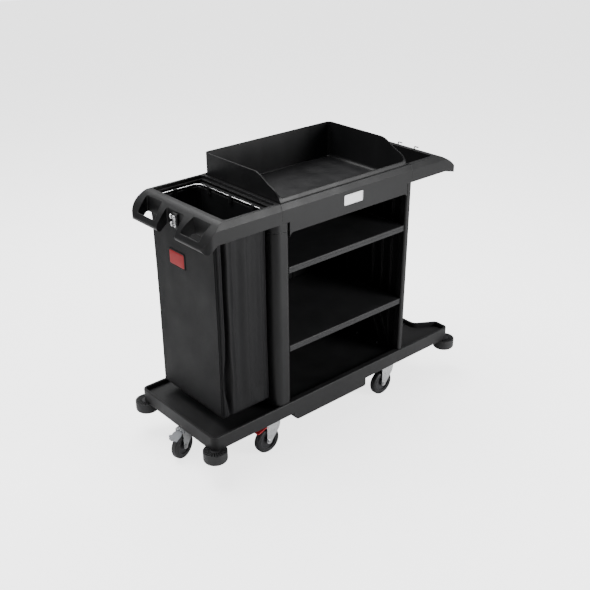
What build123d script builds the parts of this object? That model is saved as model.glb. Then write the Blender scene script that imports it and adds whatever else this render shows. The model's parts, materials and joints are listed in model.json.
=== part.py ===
"""Housekeeping cart: a moulded deck on casters, an open cabinet with two shelves and a
top tray, a linen bag hung at one end and a shallow bin at the other.

Millimetres, +Z up.  X runs along the cart from the bag end to the bin end, -Y is the open
front of the cabinet.  The origin is on the floor, under the middle of the whole cart.
"""

import math
import os

from build123d import *

# ---------------------------------------------------------------- deck
deck_length = 1508.0
deck_width = 559.0
deck_centre_x = 6.0
deck_underside = 171.0
deck_side = 65.0
deck_corner_radius = 28.0
rim_width = 13.0
rim_depth = 24.0
rim_edge_radius = 4.0
skirt_wall = 6.0
floor_thickness = 6.0
deck_rib = 4.0
deck_rib_pitch = 132.0
deck_rib_depth = 24.0
notch_depth = 101.0
notch_mouth = 390.0
notch_floor = 264.0
belly_start = 449.0
belly_length = 456.0
belly_drop = 41.0
belly_wall = 8.0
belly_big_radius = 34.0
belly_small_radius = 10.0
sill_width = 30.0
sill_round = 4.0
deck_rib_lines = (-150.0, 0.0, 150.0)
pad_margin_length = 7.0
pad_margin_width = 5.0
bumper_pad_margin = 8.0
bolt_hole_cover = 3.0
bolt_end_cover = 6.0

# ---------------------------------------------------------------- corner bumpers
bumper_radius = 53.5
bumper_height = 51.0
bumper_inset = 14.5
bumper_slots = 22
bumper_slot_width = 4.6
bumper_slot_length = 27.0
bumper_slot_depth = 14.0
bumper_hub_gap = 2.0
bumper_low_round = 12.0
bumper_top_round = 2.5
bumper_socket_radius = 16.0
bumper_socket_depth = 8.0
bumper_hub_radius = 21.0
bumper_bolt_radius = 5.0
bumper_bolt_head_radius = 9.0
bumper_bolt_head_height = 6.0

# ---------------------------------------------------------------- casters
wheel_radius = 62.5
tread_width = 32.0
tyre_depth = 17.0
tread_round = 9.0
tyre_ring_start = 3.0
tyre_ring_width = 2.0
tyre_ring_depth = 1.2
hub_setback = 1.0
hub_rim = 5.0
hub_pocket_depth = 8.0
hub_pocket_radius = 15.0
hub_boss_radius = 11.0
hub_boss_height = 3.5
axle_radius = 6.0
axle_head_radius = 9.2
axle_head_height = 5.0
running_gap = 0.05
caster_trail = 33.0
pad_recess = 7.0
plate_length = 96.0
plate_width = 70.0
plate_thickness = 3.5
plate_corner_radius = 10.0
race_radius = 30.0
race_height = 8.5
race_round = 3.0
lower_race_step = 3.0
swivel_gap = 0.5
kingpin_radius = 8.0
kingpin_end = 8.0
kingpin_nut_radius = 12.5
kingpin_nut_height = 7.0
fork_crown_height = 150.0
fork_crown_length = 76.0
fork_crown_setback = 7.0
fork_crown_radius = 6.0
fork_sheet = 3.5
fork_gap = 39.0
leg_below_axle = 15.0
leg_behind_axle = 12.0
leg_foot_slant = (11.0, 8.0)
leg_knee = (24.0, 36.0)
leg_shoulder = (31.0, 14.0)
leg_foot_round = 9.0
leg_knee_round = 5.0
bolt_spacing_x = 76.0
bolt_spacing_y = 48.0
bolt_radius = 4.0
bolt_gap = 0.3
bolt_head_radius = 7.0
bolt_head_height = 4.5
pedal_reach = 55.0
pedal_drop = 17.0
pedal_thickness = 5.0
pedal_pin_radius = 3.0
pedal_pin_behind = 6.0
pedal_pin_drop = 8.0
pedal_boss_radius = 5.0
pedal_side_gap = 0.5
pedal_inset = 5.0
pedal_corner_radius = 8.0
pedal_teeth = 5
pedal_tooth_radius = 5.5
end_caster_setback = 45.0
bin_caster_setback = 148.0
side_caster_setback = 356.0
far_caster_setback = 412.0
side_caster_track = 460.0
end_caster_turn = 17.0

# ---------------------------------------------------------------- cabinet
bag_bay = 355.0
cabinet_width = 818.0
cabinet_setback = 5.5
ridge_height = 1181.0
frame_depth = 84.0
post_width = 84.0
post_depth = 84.0
post_wall = 5.0
post_outer_radius = 36.0
post_inner_radius = 20.0
post_cap = 37.0
seam_width = 2.5
seam_depth = 1.6
foot_inset = 20.0
foot_floor = 10.0
side_panel_wall = 10.0
left_wall_setback = 4.0
left_bead_places = (-130.0, -65.0, 0.0, 65.0, 130.0)
right_bead_places = ((-178.0, 0.0), (-120.0, 70.0), (-60.0, 70.0), (120.0, 0.0), (178.0, 0.0))
right_bead_knee = 150.0
right_bead_top = 12.0
right_bead_foot = 14.0
right_foot_inset = 4.0
right_foot_length = 24.0
right_post_width = 29.0
right_post_depth = 44.0
right_post_radius = 9.0
right_panel_lean = 10.0
back_panel_y = 258.5
back_panel_wall = 5.0
back_rebate_reach = 10.0
back_rebate_wall = 4.0
back_beads = 8
back_bead_stop = 15.0
bead_width = 12.0
bead_height = 5.0
piece_gap = 0.5
apron_drop = 47.0
apron_wall = 12.0
apron_bevel_height = 26.0
apron_bevel_depth = 11.0
apron_corner_radius = 20.0
apron_seam_inset = 45.0
apron_ridge_round = 2.0

# ---------------------------------------------------------------- shelves
shelf_tops = {"shelf_upper": 893.0, "shelf_lower": 517.0}
shelf_lip = 28.0
shelf_skin = 5.0
shelf_front_setback = 8.0
shelf_back_gap = 8.0
shelf_bead = 4.5
shelf_groove_share = 0.45
shelf_groove_depth = 1.2
shelf_groove_width = 3.0
shelf_rail_width = 14.0
shelf_rail_height = 10.0

# ---------------------------------------------------------------- top tray
tray_wall = 5.0
tray_floor_drop = 71.0
tray_lip_rise = 2.0
gallery_rise = 101.0
gallery_step = 3.0
tray_corner_radius = 22.0
tray_front_radius = 62.0
tray_back_radius = 5.0
tray_front_corner_radius = 6.0
tray_right_gap = 27.0
tray_depth_front = 258.0
tray_depth_back = 250.0
gallery_fall = 165.0

# ---------------------------------------------------------------- end frames and handles
frame_half_width = 274.0
frame_bevel_height = 27.0
frame_bevel_width = 12.0
frame_opening_half = 250.0
bag_ridge_reach = 290.0
bin_ridge_reach = 176.0
bag_handle_reach = 93.0
bin_handle_reach = 144.0
handle_tip_drop = 96.0
bag_nose_height = 20.0
bin_nose_height = 9.0
handle_corner_radius = 38.0
grip_bar = 10.0
grip_window_depth = 57.0
grip_wall_start = 113.0
grip_wall_end = 226.0
grip_bar_start = 87.0
grip_bar_end = 217.0
grip_corner_radius = 6.0
grip_gap_half = 64.0
grip_gap_depth = 58.0
grip_gap_radius = 8.0
bag_opening_far = 14.0
bag_opening_near = 17.0
bag_opening_radius = 14.0
ledge_steps = ((14.0, 9.0, 12.0), (26.0, 0.0, 22.0))
ledge_height = 5.0
hem_pocket_depth = 35.0
hem_pocket_margin = 4.0
hem_pocket_ceiling = 1164.0
saddle_length = 34.0
saddle_height = 6.0
saddle_share = 0.28
saddle_bite = 3.0
bin_wall = 5.0
bin_floor_height = 5.0
bin_start_overlap = 22.0
bin_corner_radius = 16.0
bin_outer_rail = 12.0

# ---------------------------------------------------------------- linen bag and its wire
wire_radius = 2.8
wire_length = 250.0
wire_width = 450.0
wire_corner_radius = 34.0
wire_height = 1157.0
wire_gap = 0.3
bag_bottom = 270.0
bag_top = 1144.0
bag_wall = 3.0
bag_overhang = 4.0
bag_post_gap = 3.0
bag_corner_radius = 20.0
bag_foot_radius = 10.0
badge_width = 118.0
badge_height = 76.0
badge_thickness = 1.2
badge_corner_radius = 9.0
sewn_gap = 0.3
badge_y = 46.0
badge_z = 932.0
snap_radius = 6.0
snap_height = 3.0
snap_drop = 14.0

# ---------------------------------------------------------------- small fittings
plate_sign_width = 111.0
plate_sign_height = 46.0
plate_sign_thickness = 1.6
plate_sign_radius = 6.0
plate_sign_border = 3.5
plate_sign_relief = 0.6
plate_sign_x = 53.0
plate_sign_z = 1113.0
hook_bar_radius = 4.0
hook_base_width = 34.0
hook_base_height = 66.0
hook_base_depth = 10.0
hook_base_drop = 27.0
hook_base_radius = 5.0
hook_base_round = 2.0
hook_prongs = ((16.0, 17.0, 13.0), (50.0, 15.0, 14.0))
hook_bend = 8.0
hook_ball = 2.0
hook_plate_drop = 33.0
hook_plate_width = 20.0
hook_plate_height = 52.0
hook_plate_radius = 8.0
hook_plate_thickness = 3.0
rail_hook_radius = 2.6
rail_hook_rise = 8.0
rail_hook_bend = 5.0
rail_hook_reach = 22.0
rail_hook_inset = 4.0
rail_hook_ball = 0.6
rail_hook_places = (-17.0, -120.0)
screw_head_radius = 7.0
screw_head_height = 4.0
screw_gap = 0.2
left_screw_places = (-92.0, 0.0, 92.0)
left_screw_rise = 40.0
foot_tab_places = (-124.0, 20.0, 150.0)
foot_tab_length = 24.0
foot_tab_width = 30.0
foot_tab_height = 3.0

# ---------------------------------------------------------------- worked-out places
deck_left = deck_centre_x - deck_length / 2
deck_right = deck_centre_x + deck_length / 2
deck_front = -deck_width / 2
deck_back = deck_width / 2
rim_top = deck_underside + deck_side
deck_floor = rim_top - rim_depth
floor_underside = deck_floor - floor_thickness
notch_x = deck_right - notch_depth
pad_face = deck_underside + pad_recess
belly_left = deck_left + belly_start
belly_bottom = deck_underside - belly_drop

cabinet_left = deck_left + bag_bay
cabinet_right = cabinet_left + cabinet_width
cabinet_front = deck_front + cabinet_setback
cabinet_back = -cabinet_front
frame_underside = ridge_height - frame_depth
post_right = cabinet_left + post_width
right_face = cabinet_right - right_post_width
apron_bottom = frame_underside - apron_drop
foot_tab_x = cabinet_right - right_panel_lean - side_panel_wall - foot_tab_length / 2
apron_left = cabinet_left + apron_seam_inset
tray_left = apron_left + piece_gap
tray_right = cabinet_right - tray_right_gap
tray_floor_top = ridge_height - tray_floor_drop

bag_ridge_x = apron_left - bag_ridge_reach
bag_handle_tip = bag_ridge_x - bag_handle_reach
bin_ridge_x = cabinet_right + bin_ridge_reach
bin_handle_tip = bin_ridge_x + bin_handle_reach
bag_opening_left = bag_ridge_x + bag_opening_near
bag_opening_right = apron_left - bag_opening_far
wire_centre_x = cabinet_left - bag_post_gap - bag_overhang - wire_length / 2
bag_length = wire_length + 2 * bag_overhang
bag_width = wire_width + 2 * bag_overhang

fork_outer = fork_gap / 2 + fork_sheet


def save(piece, name):
    """Label a finished solid and write its file."""
    piece.label = name
    export_step(piece, f"parts/{name}.step")


def right_face_x(height):
    """Inner face of the bin-end panel's posts, which lean in towards the deck."""
    share = (frame_underside - height) / (frame_underside - rim_top)
    return right_face - right_panel_lean * share


def caster_places():
    """Swivel axis of each caster: name, x, y, turn about the axis, has a brake pedal."""
    side_y = side_caster_track / 2
    return [
        ("caster_bag_end", deck_left + end_caster_setback, 0.0, end_caster_turn, True),
        ("caster_bag_front", deck_left + side_caster_setback, -side_y, 0.0, True),
        ("caster_bag_back", deck_left + side_caster_setback, side_y, 0.0, True),
        ("caster_bin_front", deck_right - far_caster_setback, -side_y, 0.0, False),
        ("caster_bin_back", deck_right - far_caster_setback, side_y, 0.0, False),
        ("caster_bin_end", deck_right - bin_caster_setback, 0.0, 0.0, True),
    ]


def bumper_places():
    """Centres of the four corner bumpers, with their names."""
    x_low, x_high = deck_left + bumper_inset, deck_right - bumper_inset
    y_low, y_high = deck_front + bumper_inset, deck_back - bumper_inset
    return {
        "bumper_bag_front": (x_low, y_low),
        "bumper_bag_back": (x_low, y_high),
        "bumper_bin_front": (x_high, y_low),
        "bumper_bin_back": (x_high, y_high),
    }


def lies_across(y):
    """Whether a caster's plate lies across the cart: the two on the centre line do."""
    return y == 0


def bolt_places():
    """The four plate bolts of every caster."""
    places = []
    for _, x, y, _, _ in caster_places():
        half_x, half_y = bolt_spacing_x / 2, bolt_spacing_y / 2
        if lies_across(y):
            half_x, half_y = half_y, half_x
        for side_x in (-1, 1):
            for side_y in (-1, 1):
                places.append((x + side_x * half_x, y + side_y * half_y))
    return places


# ---------------------------------------------------------------- deck and bumpers
def deck_outline(inset):
    """Plan of the deck, drawn in by an even inset: a long rectangle, notched at the bin end."""
    with BuildSketch() as outline:
        with BuildLine():
            Polyline(
                (deck_left, deck_front),
                (deck_right, deck_front),
                (deck_right, -notch_mouth / 2),
                (notch_x, -notch_floor / 2),
                (notch_x, notch_floor / 2),
                (deck_right, notch_mouth / 2),
                (deck_right, deck_back),
                (deck_left, deck_back),
                close=True,
            )
        make_face()
        fillet(outline.vertices(), deck_corner_radius)
        if inset:
            offset(amount=-inset)
    return outline.sketch


def make_sill():
    """Widened rim under the cabinet's opening, between the posts, with a rounded inner edge."""
    x_low, x_high = post_right + piece_gap, right_face_x(rim_top) - piece_gap
    y_low, y_high = deck_front + 2 * rim_edge_radius, deck_front + sill_width
    with BuildPart() as sill:
        with Locations(((x_low + x_high) / 2, (y_low + y_high) / 2, (deck_floor + rim_top) / 2)):
            Box(x_high - x_low, y_high - y_low, rim_depth)
        top = sill.faces().sort_by(Axis.Z)[-1]
        fillet(top.edges().sort_by(Axis.Y)[-1], sill_round)
    return sill.part


def make_deck():
    """One moulding: rimmed floor, skirt, ribs, caster and bumper pads, and the belly."""
    outer = deck_outline(0)
    inner = deck_outline(skirt_wall)
    rib_depth_centre = floor_underside - deck_rib_depth / 2
    belly_centre_x = belly_left + belly_length / 2
    sill = make_sill()
    with BuildPart() as base_deck:
        with BuildSketch(Plane.XY.offset(deck_underside)):
            add(outer)
        extrude(amount=deck_side)
        with BuildSketch(Plane.XY.offset(rim_top)):
            add(deck_outline(rim_width))
        extrude(amount=-rim_depth, mode=Mode.SUBTRACT)
        fillet(base_deck.faces().sort_by(Axis.Z)[-1].edges(), rim_edge_radius)
        add(sill)
        with BuildSketch(Plane.XZ.offset(-deck_back)) as belly:
            with Locations((belly_centre_x, deck_underside - belly_drop / 2)):
                Rectangle(belly_length, belly_drop)
            low = belly.vertices().group_by(Axis.Y)[0].sort_by(Axis.X)
            fillet(low[0], belly_big_radius)
            low = belly.vertices().group_by(Axis.Y)[0].sort_by(Axis.X)
            fillet(low[-1], belly_small_radius)
        extrude(amount=deck_width)
        with BuildSketch(Plane.XY.offset(floor_underside)):
            add(inner)
        extrude(amount=-(floor_underside - deck_underside), mode=Mode.SUBTRACT)
        with BuildSketch(Plane.XY.offset(belly_bottom)):
            with Locations((belly_centre_x, 0)):
                Rectangle(belly_length - 2 * belly_wall, deck_width - 2 * belly_wall)
        extrude(amount=belly_drop, mode=Mode.SUBTRACT)
        with BuildSketch(Plane.XY.offset(floor_underside - deck_rib_depth)):
            for n in range(-5, 6):
                with Locations((deck_centre_x + n * deck_rib_pitch, 0)):
                    Rectangle(deck_rib, deck_width - skirt_wall)
            for y in deck_rib_lines:
                with Locations((deck_centre_x, y)):
                    Rectangle(deck_length - skirt_wall, deck_rib)
            add(inner, mode=Mode.INTERSECT)
        extrude(amount=deck_rib_depth)
        with BuildSketch(Plane.XY.offset(pad_face)):
            for _, x, y, _, _ in caster_places():
                with Locations(Location((x, y), 90 if lies_across(y) else 0)):
                    Rectangle(plate_length + 2 * pad_margin_length, plate_width + 2 * pad_margin_width)
            add(outer, mode=Mode.INTERSECT)
        extrude(amount=floor_underside - pad_face)
        with BuildSketch(Plane.XY.offset(deck_underside)):
            with Locations(*bumper_places().values()):
                Circle(bumper_radius - bumper_pad_margin)
            add(outer, mode=Mode.INTERSECT)
        extrude(amount=floor_underside - deck_underside)
        with Locations(*[(x, y, pad_face) for x, y in bolt_places()]):
            Cylinder(
                bolt_radius + bolt_gap,
                2 * (floor_underside - pad_face - bolt_hole_cover),
                mode=Mode.SUBTRACT,
            )
        with Locations(*[(x, y, deck_underside) for x, y in bumper_places().values()]):
            Cylinder(
                bumper_bolt_radius + bolt_gap,
                2 * (floor_underside - deck_underside - bolt_hole_cover),
                mode=Mode.SUBTRACT,
            )
    return base_deck.part


def make_bumper():
    """A soft donut: round disc with a rounded lower edge and radial slots in its top."""
    with BuildPart() as bumper:
        with BuildSketch(Plane.XY.offset(deck_underside)):
            Circle(bumper_radius)
        extrude(amount=-bumper_height)
        fillet(bumper.edges().filter_by(GeomType.CIRCLE).sort_by(Axis.Z)[0], bumper_low_round)
        fillet(bumper.edges().filter_by(GeomType.CIRCLE).sort_by(Axis.Z)[-1], bumper_top_round)
        with BuildSketch(Plane.XY.offset(deck_underside)):
            with PolarLocations(bumper_hub_radius + bumper_hub_gap + bumper_slot_length / 2, bumper_slots):
                SlotOverall(bumper_slot_length, bumper_slot_width)
        extrude(amount=-bumper_slot_depth, mode=Mode.SUBTRACT)
        with Locations((0, 0, deck_underside - bumper_height / 2)):
            Cylinder(bumper_bolt_radius + bolt_gap, bumper_height, mode=Mode.SUBTRACT)
        with Locations((0, 0, deck_underside - bumper_height)):
            Cylinder(bumper_socket_radius, 2 * bumper_socket_depth, mode=Mode.SUBTRACT)
    return bumper.part


def make_bumper_bolt():
    """Shouldered bolt that holds a bumper up against its deck pad."""
    head_face = deck_underside - bumper_height + bumper_socket_depth
    length = floor_underside - bolt_end_cover - head_face
    with BuildPart() as bolt:
        with BuildSketch(Plane.XY.offset(head_face)):
            Circle(bumper_bolt_radius)
        extrude(amount=length)
        with BuildSketch(Plane.XY.offset(head_face)):
            RegularPolygon(bumper_bolt_head_radius, 6)
        extrude(amount=-bumper_bolt_head_height)
    return bolt.part


# ---------------------------------------------------------------- casters
def make_caster_plate():
    """Fixed half of the swivel: mounting plate, upper race and kingpin with its nut."""
    plate_under = pad_face - plate_thickness
    with BuildPart() as plate:
        with BuildSketch(Plane.XY.offset(plate_under)):
            RectangleRounded(plate_length, plate_width, plate_corner_radius)
            with GridLocations(bolt_spacing_x, bolt_spacing_y, 2, 2):
                Circle(bolt_radius + bolt_gap, mode=Mode.SUBTRACT)
        extrude(amount=plate_thickness)
        with BuildSketch(Plane.XY.offset(plate_under)):
            Circle(race_radius)
        extrude(amount=-race_height)
        fillet(plate.edges().filter_by(GeomType.CIRCLE).sort_by(Axis.Z)[0], race_round)
        with BuildSketch(Plane.XY.offset(plate_under - race_height)):
            Circle(kingpin_radius)
        extrude(amount=fork_crown_height - fork_sheet - kingpin_end - (plate_under - race_height))
        with BuildSketch(Plane.XY.offset(fork_crown_height - fork_sheet - swivel_gap)):
            RegularPolygon(kingpin_nut_radius, 6)
        extrude(amount=-kingpin_nut_height)
    return plate.part


def make_caster_fork(with_pedal):
    """Turning half of the swivel: lower race, crown and two stamped legs."""
    race_under = pad_face - plate_thickness - race_height - swivel_gap
    pin_x, pin_z = pedal_pin_place()
    leg_foot = wheel_radius - leg_below_axle
    leg_left = -caster_trail - leg_behind_axle
    toe_x, toe_rise = leg_foot_slant
    knee_x, knee_drop = leg_knee
    shoulder_x, shoulder_drop = leg_shoulder
    with BuildPart() as fork:
        with BuildSketch(Plane.XY.offset(fork_crown_height - fork_sheet)):
            with Locations((-fork_crown_setback, 0)):
                RectangleRounded(fork_crown_length, 2 * fork_outer, fork_crown_radius)
        extrude(amount=fork_sheet)
        with BuildSketch(Plane.XZ) as leg:
            with BuildLine():
                Polyline(
                    (leg_left, fork_crown_height),
                    (leg_left, leg_foot + toe_rise),
                    (-caster_trail, leg_foot),
                    (-caster_trail + toe_x, leg_foot + toe_rise),
                    (knee_x, fork_crown_height - knee_drop),
                    (shoulder_x, fork_crown_height - shoulder_drop),
                    (shoulder_x, fork_crown_height),
                    close=True,
                )
            make_face()
            fillet(leg.vertices().sort_by(Axis.Y)[:3], leg_foot_round)
            fillet(leg.vertices().sort_by(Axis.Y)[-4:-2], leg_knee_round)
        extrude(amount=fork_outer, both=True)
        with Locations((0, 0, (fork_crown_height - fork_sheet) / 2)):
            Box(200, fork_gap, fork_crown_height - fork_sheet, mode=Mode.SUBTRACT)
        with BuildSketch(Plane.XY.offset(fork_crown_height)):
            Circle(race_radius - lower_race_step)
        extrude(amount=race_under - fork_crown_height)
        with Locations((0, 0, fork_crown_height)):
            Cylinder(kingpin_radius + running_gap, 60, mode=Mode.SUBTRACT)
        with BuildSketch(Plane.XZ.offset(fork_outer)):
            with Locations((-caster_trail, wheel_radius)):
                Circle(axle_radius)
            if with_pedal:
                with Locations((pin_x, pin_z)):
                    Circle(pedal_pin_radius + running_gap)
        extrude(amount=-2 * fork_outer, mode=Mode.SUBTRACT)
    return fork.part


def make_caster_axle():
    """Axle bolt across the fork, with a hexagon head and a nut."""
    with BuildPart() as axle:
        with BuildSketch(Plane.XZ.offset(-fork_outer)):
            with Locations((-caster_trail, wheel_radius)):
                Circle(axle_radius)
        extrude(amount=2 * fork_outer)
        for side in (-1, 1):
            with BuildSketch(Plane.XZ.offset(side * fork_outer)):
                with Locations((-caster_trail, wheel_radius)):
                    RegularPolygon(axle_head_radius, 6)
            extrude(amount=side * axle_head_height)
    return axle.part


def make_tyre():
    """Solid rubber tyre with a rounded tread and a shallow ring on each side."""
    ring_radius = wheel_radius - tyre_depth + tyre_ring_start
    with BuildPart() as tyre:
        with BuildSketch(Plane.XZ):
            with Locations((-caster_trail, wheel_radius)):
                Circle(wheel_radius)
                Circle(wheel_radius - tyre_depth, mode=Mode.SUBTRACT)
        extrude(amount=tread_width / 2, both=True)
        rims = tyre.edges().filter_by(GeomType.CIRCLE).sort_by(SortBy.RADIUS)
        fillet(rims[-2:], tread_round)
        for side in (-1, 1):
            with BuildSketch(Plane.XZ.offset(side * tread_width / 2)):
                with Locations((-caster_trail, wheel_radius)):
                    Circle(ring_radius + tyre_ring_width)
                    Circle(ring_radius, mode=Mode.SUBTRACT)
            extrude(amount=-side * tyre_ring_depth, mode=Mode.SUBTRACT)
    return tyre.part


def make_hub():
    """Wheel centre: rim, thin web with round pockets, and a bearing boss."""
    half_width = tread_width / 2 - hub_setback
    with BuildPart() as hub:
        with BuildSketch(Plane.XZ):
            with Locations((-caster_trail, wheel_radius)):
                Circle(wheel_radius - tyre_depth)
        extrude(amount=half_width, both=True)
        for side in (-1, 1):
            with BuildSketch(Plane.XZ.offset(side * half_width)):
                with Locations((-caster_trail, wheel_radius)):
                    Circle(wheel_radius - tyre_depth - hub_rim)
                    Circle(hub_pocket_radius, mode=Mode.SUBTRACT)
            extrude(amount=-side * hub_pocket_depth, mode=Mode.SUBTRACT)
            with BuildSketch(Plane.XZ.offset(side * half_width)):
                with Locations((-caster_trail, wheel_radius)):
                    Circle(hub_boss_radius)
            extrude(amount=side * hub_boss_height)
        with BuildSketch(Plane.XZ.offset(-tread_width)):
            with Locations((-caster_trail, wheel_radius)):
                Circle(axle_radius + running_gap)
        extrude(amount=2 * tread_width, mode=Mode.SUBTRACT)
    return hub.part


def pedal_pin_place():
    """Hinge of the brake pedal, as x and z in the caster's own plane."""
    return -caster_trail - pedal_pin_behind, fork_crown_height - fork_sheet - pedal_pin_drop


def make_pedal(toothed):
    """Foot pedal of the wheel brake, hinged between the fork legs, sloping out and down."""
    pin_x, pin_z = pedal_pin_place()
    pad_half = fork_outer if toothed else fork_outer - pedal_inset
    tip = (pin_x - pedal_reach, pin_z - pedal_drop)
    with BuildPart() as pedal:
        with BuildSketch(Plane.XZ):
            with Locations((pin_x, pin_z)):
                Circle(pedal_boss_radius)
        extrude(amount=fork_gap / 2 - pedal_side_gap, both=True)
        with BuildSketch(Plane.XZ):
            with Locations((pin_x, pin_z)):
                Circle(pedal_pin_radius)
        extrude(amount=fork_outer, both=True)
        with BuildSketch(Plane.XZ):
            with BuildLine():
                Polyline(
                    (pin_x, pin_z + 4.5),
                    (pin_x - 0.35 * pedal_reach, pin_z + 3.5),
                    (tip[0], tip[1] + pedal_thickness),
                    tip,
                    (pin_x - 0.35 * pedal_reach, pin_z - 2.5),
                    (pin_x, pin_z - 3.5),
                    close=True,
                )
            make_face()
        extrude(amount=fork_gap / 2 - pedal_side_gap, both=True)
        with BuildSketch(Plane.XY.offset(tip[1] - 2)) as tread:
            with Locations((pin_x - 0.62 * pedal_reach, 0)):
                RectangleRounded(0.76 * pedal_reach, 2 * pad_half, pedal_corner_radius)
            if toothed:
                with Locations((pin_x - 0.45 * pedal_reach, 0)):
                    with PolarLocations(0.56 * pedal_reach, pedal_teeth, 120, 120):
                        Circle(pedal_tooth_radius)
        extrude(amount=pedal_drop + 8)
        wedge_low = pedal_wedge(pin_x, pin_z, tip, -pedal_thickness, -60)
        wedge_high = pedal_wedge(pin_x, pin_z, tip, pedal_thickness, 60)
        add(wedge_low, mode=Mode.SUBTRACT)
        add(wedge_high, mode=Mode.SUBTRACT)
    return pedal.part


def pedal_wedge(pin_x, pin_z, tip, step, reach):
    """Block used to shave the pedal's pad down to a sloping plate."""
    low_x = tip[0] - 14
    slope = pedal_drop / pedal_reach
    half = step / 2
    with BuildPart() as wedge:
        with BuildSketch(Plane.XZ):
            with BuildLine():
                Polyline(
                    (pin_x - 7, pin_z + half),
                    (low_x, pin_z + half - slope * (pin_x - low_x)),
                    (low_x, pin_z + reach),
                    (pin_x - 7, pin_z + reach),
                    close=True,
                )
            make_face()
        extrude(amount=60, both=True)
    return wedge.part


def make_plate_bolt():
    """Plate bolt: hexagon head under the caster plate, shank up into the deck pad."""
    head_top = pad_face - plate_thickness
    with BuildPart() as bolt:
        with BuildSketch(Plane.XY.offset(head_top)):
            Circle(bolt_radius)
        extrude(amount=plate_thickness + floor_underside - pad_face - 6)
        with BuildSketch(Plane.XY.offset(head_top)):
            RegularPolygon(bolt_head_radius, 6)
        extrude(amount=-bolt_head_height)
    return bolt.part


def save_casters():
    """Write every caster's own pieces, each set turned and moved to its swivel axis."""
    plate = make_caster_plate()
    axle = make_caster_axle()
    tyre = make_tyre()
    hub = make_hub()
    for name, x, y, turn, braked in caster_places():
        place = Location((x, y, 0), (0, 0, turn))
        save(Location((x, y, 0), (0, 0, 90 if lies_across(y) else 0)) * plate, f"{name}_plate")
        save(place * make_caster_fork(braked), f"{name}_fork")
        save(place * axle, f"{name}_axle")
        save(place * tyre, f"{name}_tyre")
        save(place * hub, f"{name}_hub")
        if braked:
            save(place * make_pedal(y == 0), f"{name}_pedal")


# ---------------------------------------------------------------- cabinet panels
def post_plan(inset):
    """Plan of the two hollow posts of the bag-end panel, drawn in by an even inset."""
    middle_x = cabinet_left + post_width / 2
    middle_y = cabinet_front + post_depth / 2
    with BuildSketch() as plan:
        with Locations((middle_x, middle_y)):
            Rectangle(post_width, post_depth)
        front = plan.vertices().group_by(Axis.Y)[0].sort_by(Axis.X)
        fillet(front[0], post_outer_radius)
        front = plan.vertices().group_by(Axis.Y)[0].sort_by(Axis.X)
        fillet(front[-1], post_inner_radius)
        if inset:
            offset(amount=-inset)
        mirror(about=Plane.XZ)
    return plan.sketch


def shelf_rail(x_low, x_high, top):
    """A ledge along the cabinet's depth, whose top carries a shelf's side flange."""
    with BuildPart() as rail:
        with Locations(((x_low + x_high) / 2, 0, top - shelf_rail_height / 2)):
            Box(x_high - x_low, cabinet_back - cabinet_front - 2 * post_depth, shelf_rail_height)
    return rail.part


def shelf_rails(low_x, high_x):
    """The ledges of both shelves; each end is a place, or a function of the ledge's height."""
    rails = []
    for top in shelf_tops.values():
        rail_top = top - shelf_lip - piece_gap
        rails.append(shelf_rail(low_x(rail_top), high_x(rail_top), rail_top))
    return rails


def make_left_panel():
    """Bag-end panel: two hollow posts, a ribbed wall, feet, and a flange behind the back sheet."""
    wall_x = post_right - side_panel_wall / 2 - left_wall_setback
    span = cabinet_back - cabinet_front - post_depth
    height = frame_underside - rim_top
    rail_root = wall_x + side_panel_wall / 2 - 1
    rails = shelf_rails(lambda z: rail_root, lambda z: post_right + shelf_rail_width)
    rebate_y = back_panel_y + back_panel_wall + piece_gap + back_rebate_wall / 2
    with BuildPart() as left_end_panel:
        with BuildSketch(Plane.XY.offset(rim_top)):
            add(post_plan(0))
            with Locations((wall_x, 0)):
                Rectangle(side_panel_wall, span)
            with Locations((post_right, rebate_y)):
                Rectangle(2 * back_rebate_reach, back_rebate_wall)
        extrude(amount=height)
        with BuildSketch(Plane.XY.offset(deck_floor)):
            add(post_plan(foot_inset))
            with Locations((wall_x, 0)):
                Rectangle(side_panel_wall, span)
        extrude(amount=rim_depth + foot_floor)
        with BuildSketch(Plane.XY.offset(frame_underside)):
            add(post_plan(post_wall))
        extrude(amount=-(height - foot_floor), mode=Mode.SUBTRACT)
        with BuildSketch(Plane.XY.offset(frame_underside - post_cap)):
            add(post_plan(-1))
            add(post_plan(seam_depth), mode=Mode.SUBTRACT)
        extrude(amount=seam_width, mode=Mode.SUBTRACT)
        with BuildSketch(Plane.XY.offset(rim_top)):
            for y in left_bead_places:
                with Locations((wall_x - side_panel_wall / 2 - 2, y)):
                    Rectangle(bead_height + left_wall_setback, bead_width)
        extrude(amount=height)
        add(rails)
    return left_end_panel.part


def right_plan(shift):
    """Plan of the bin-end panel: thin wall with a rounded post at front and back."""
    with BuildSketch() as plan:
        with Locations((cabinet_right - side_panel_wall / 2 - shift, 0)):
            Rectangle(side_panel_wall, cabinet_back - cabinet_front - right_post_depth)
        for side in (-1, 1):
            y = side * (cabinet_back - right_post_depth / 2)
            with Locations((cabinet_right - right_post_width / 2 - shift, y)):
                RectangleRounded(right_post_width, right_post_depth, right_post_radius)
    return plan.sketch


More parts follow.
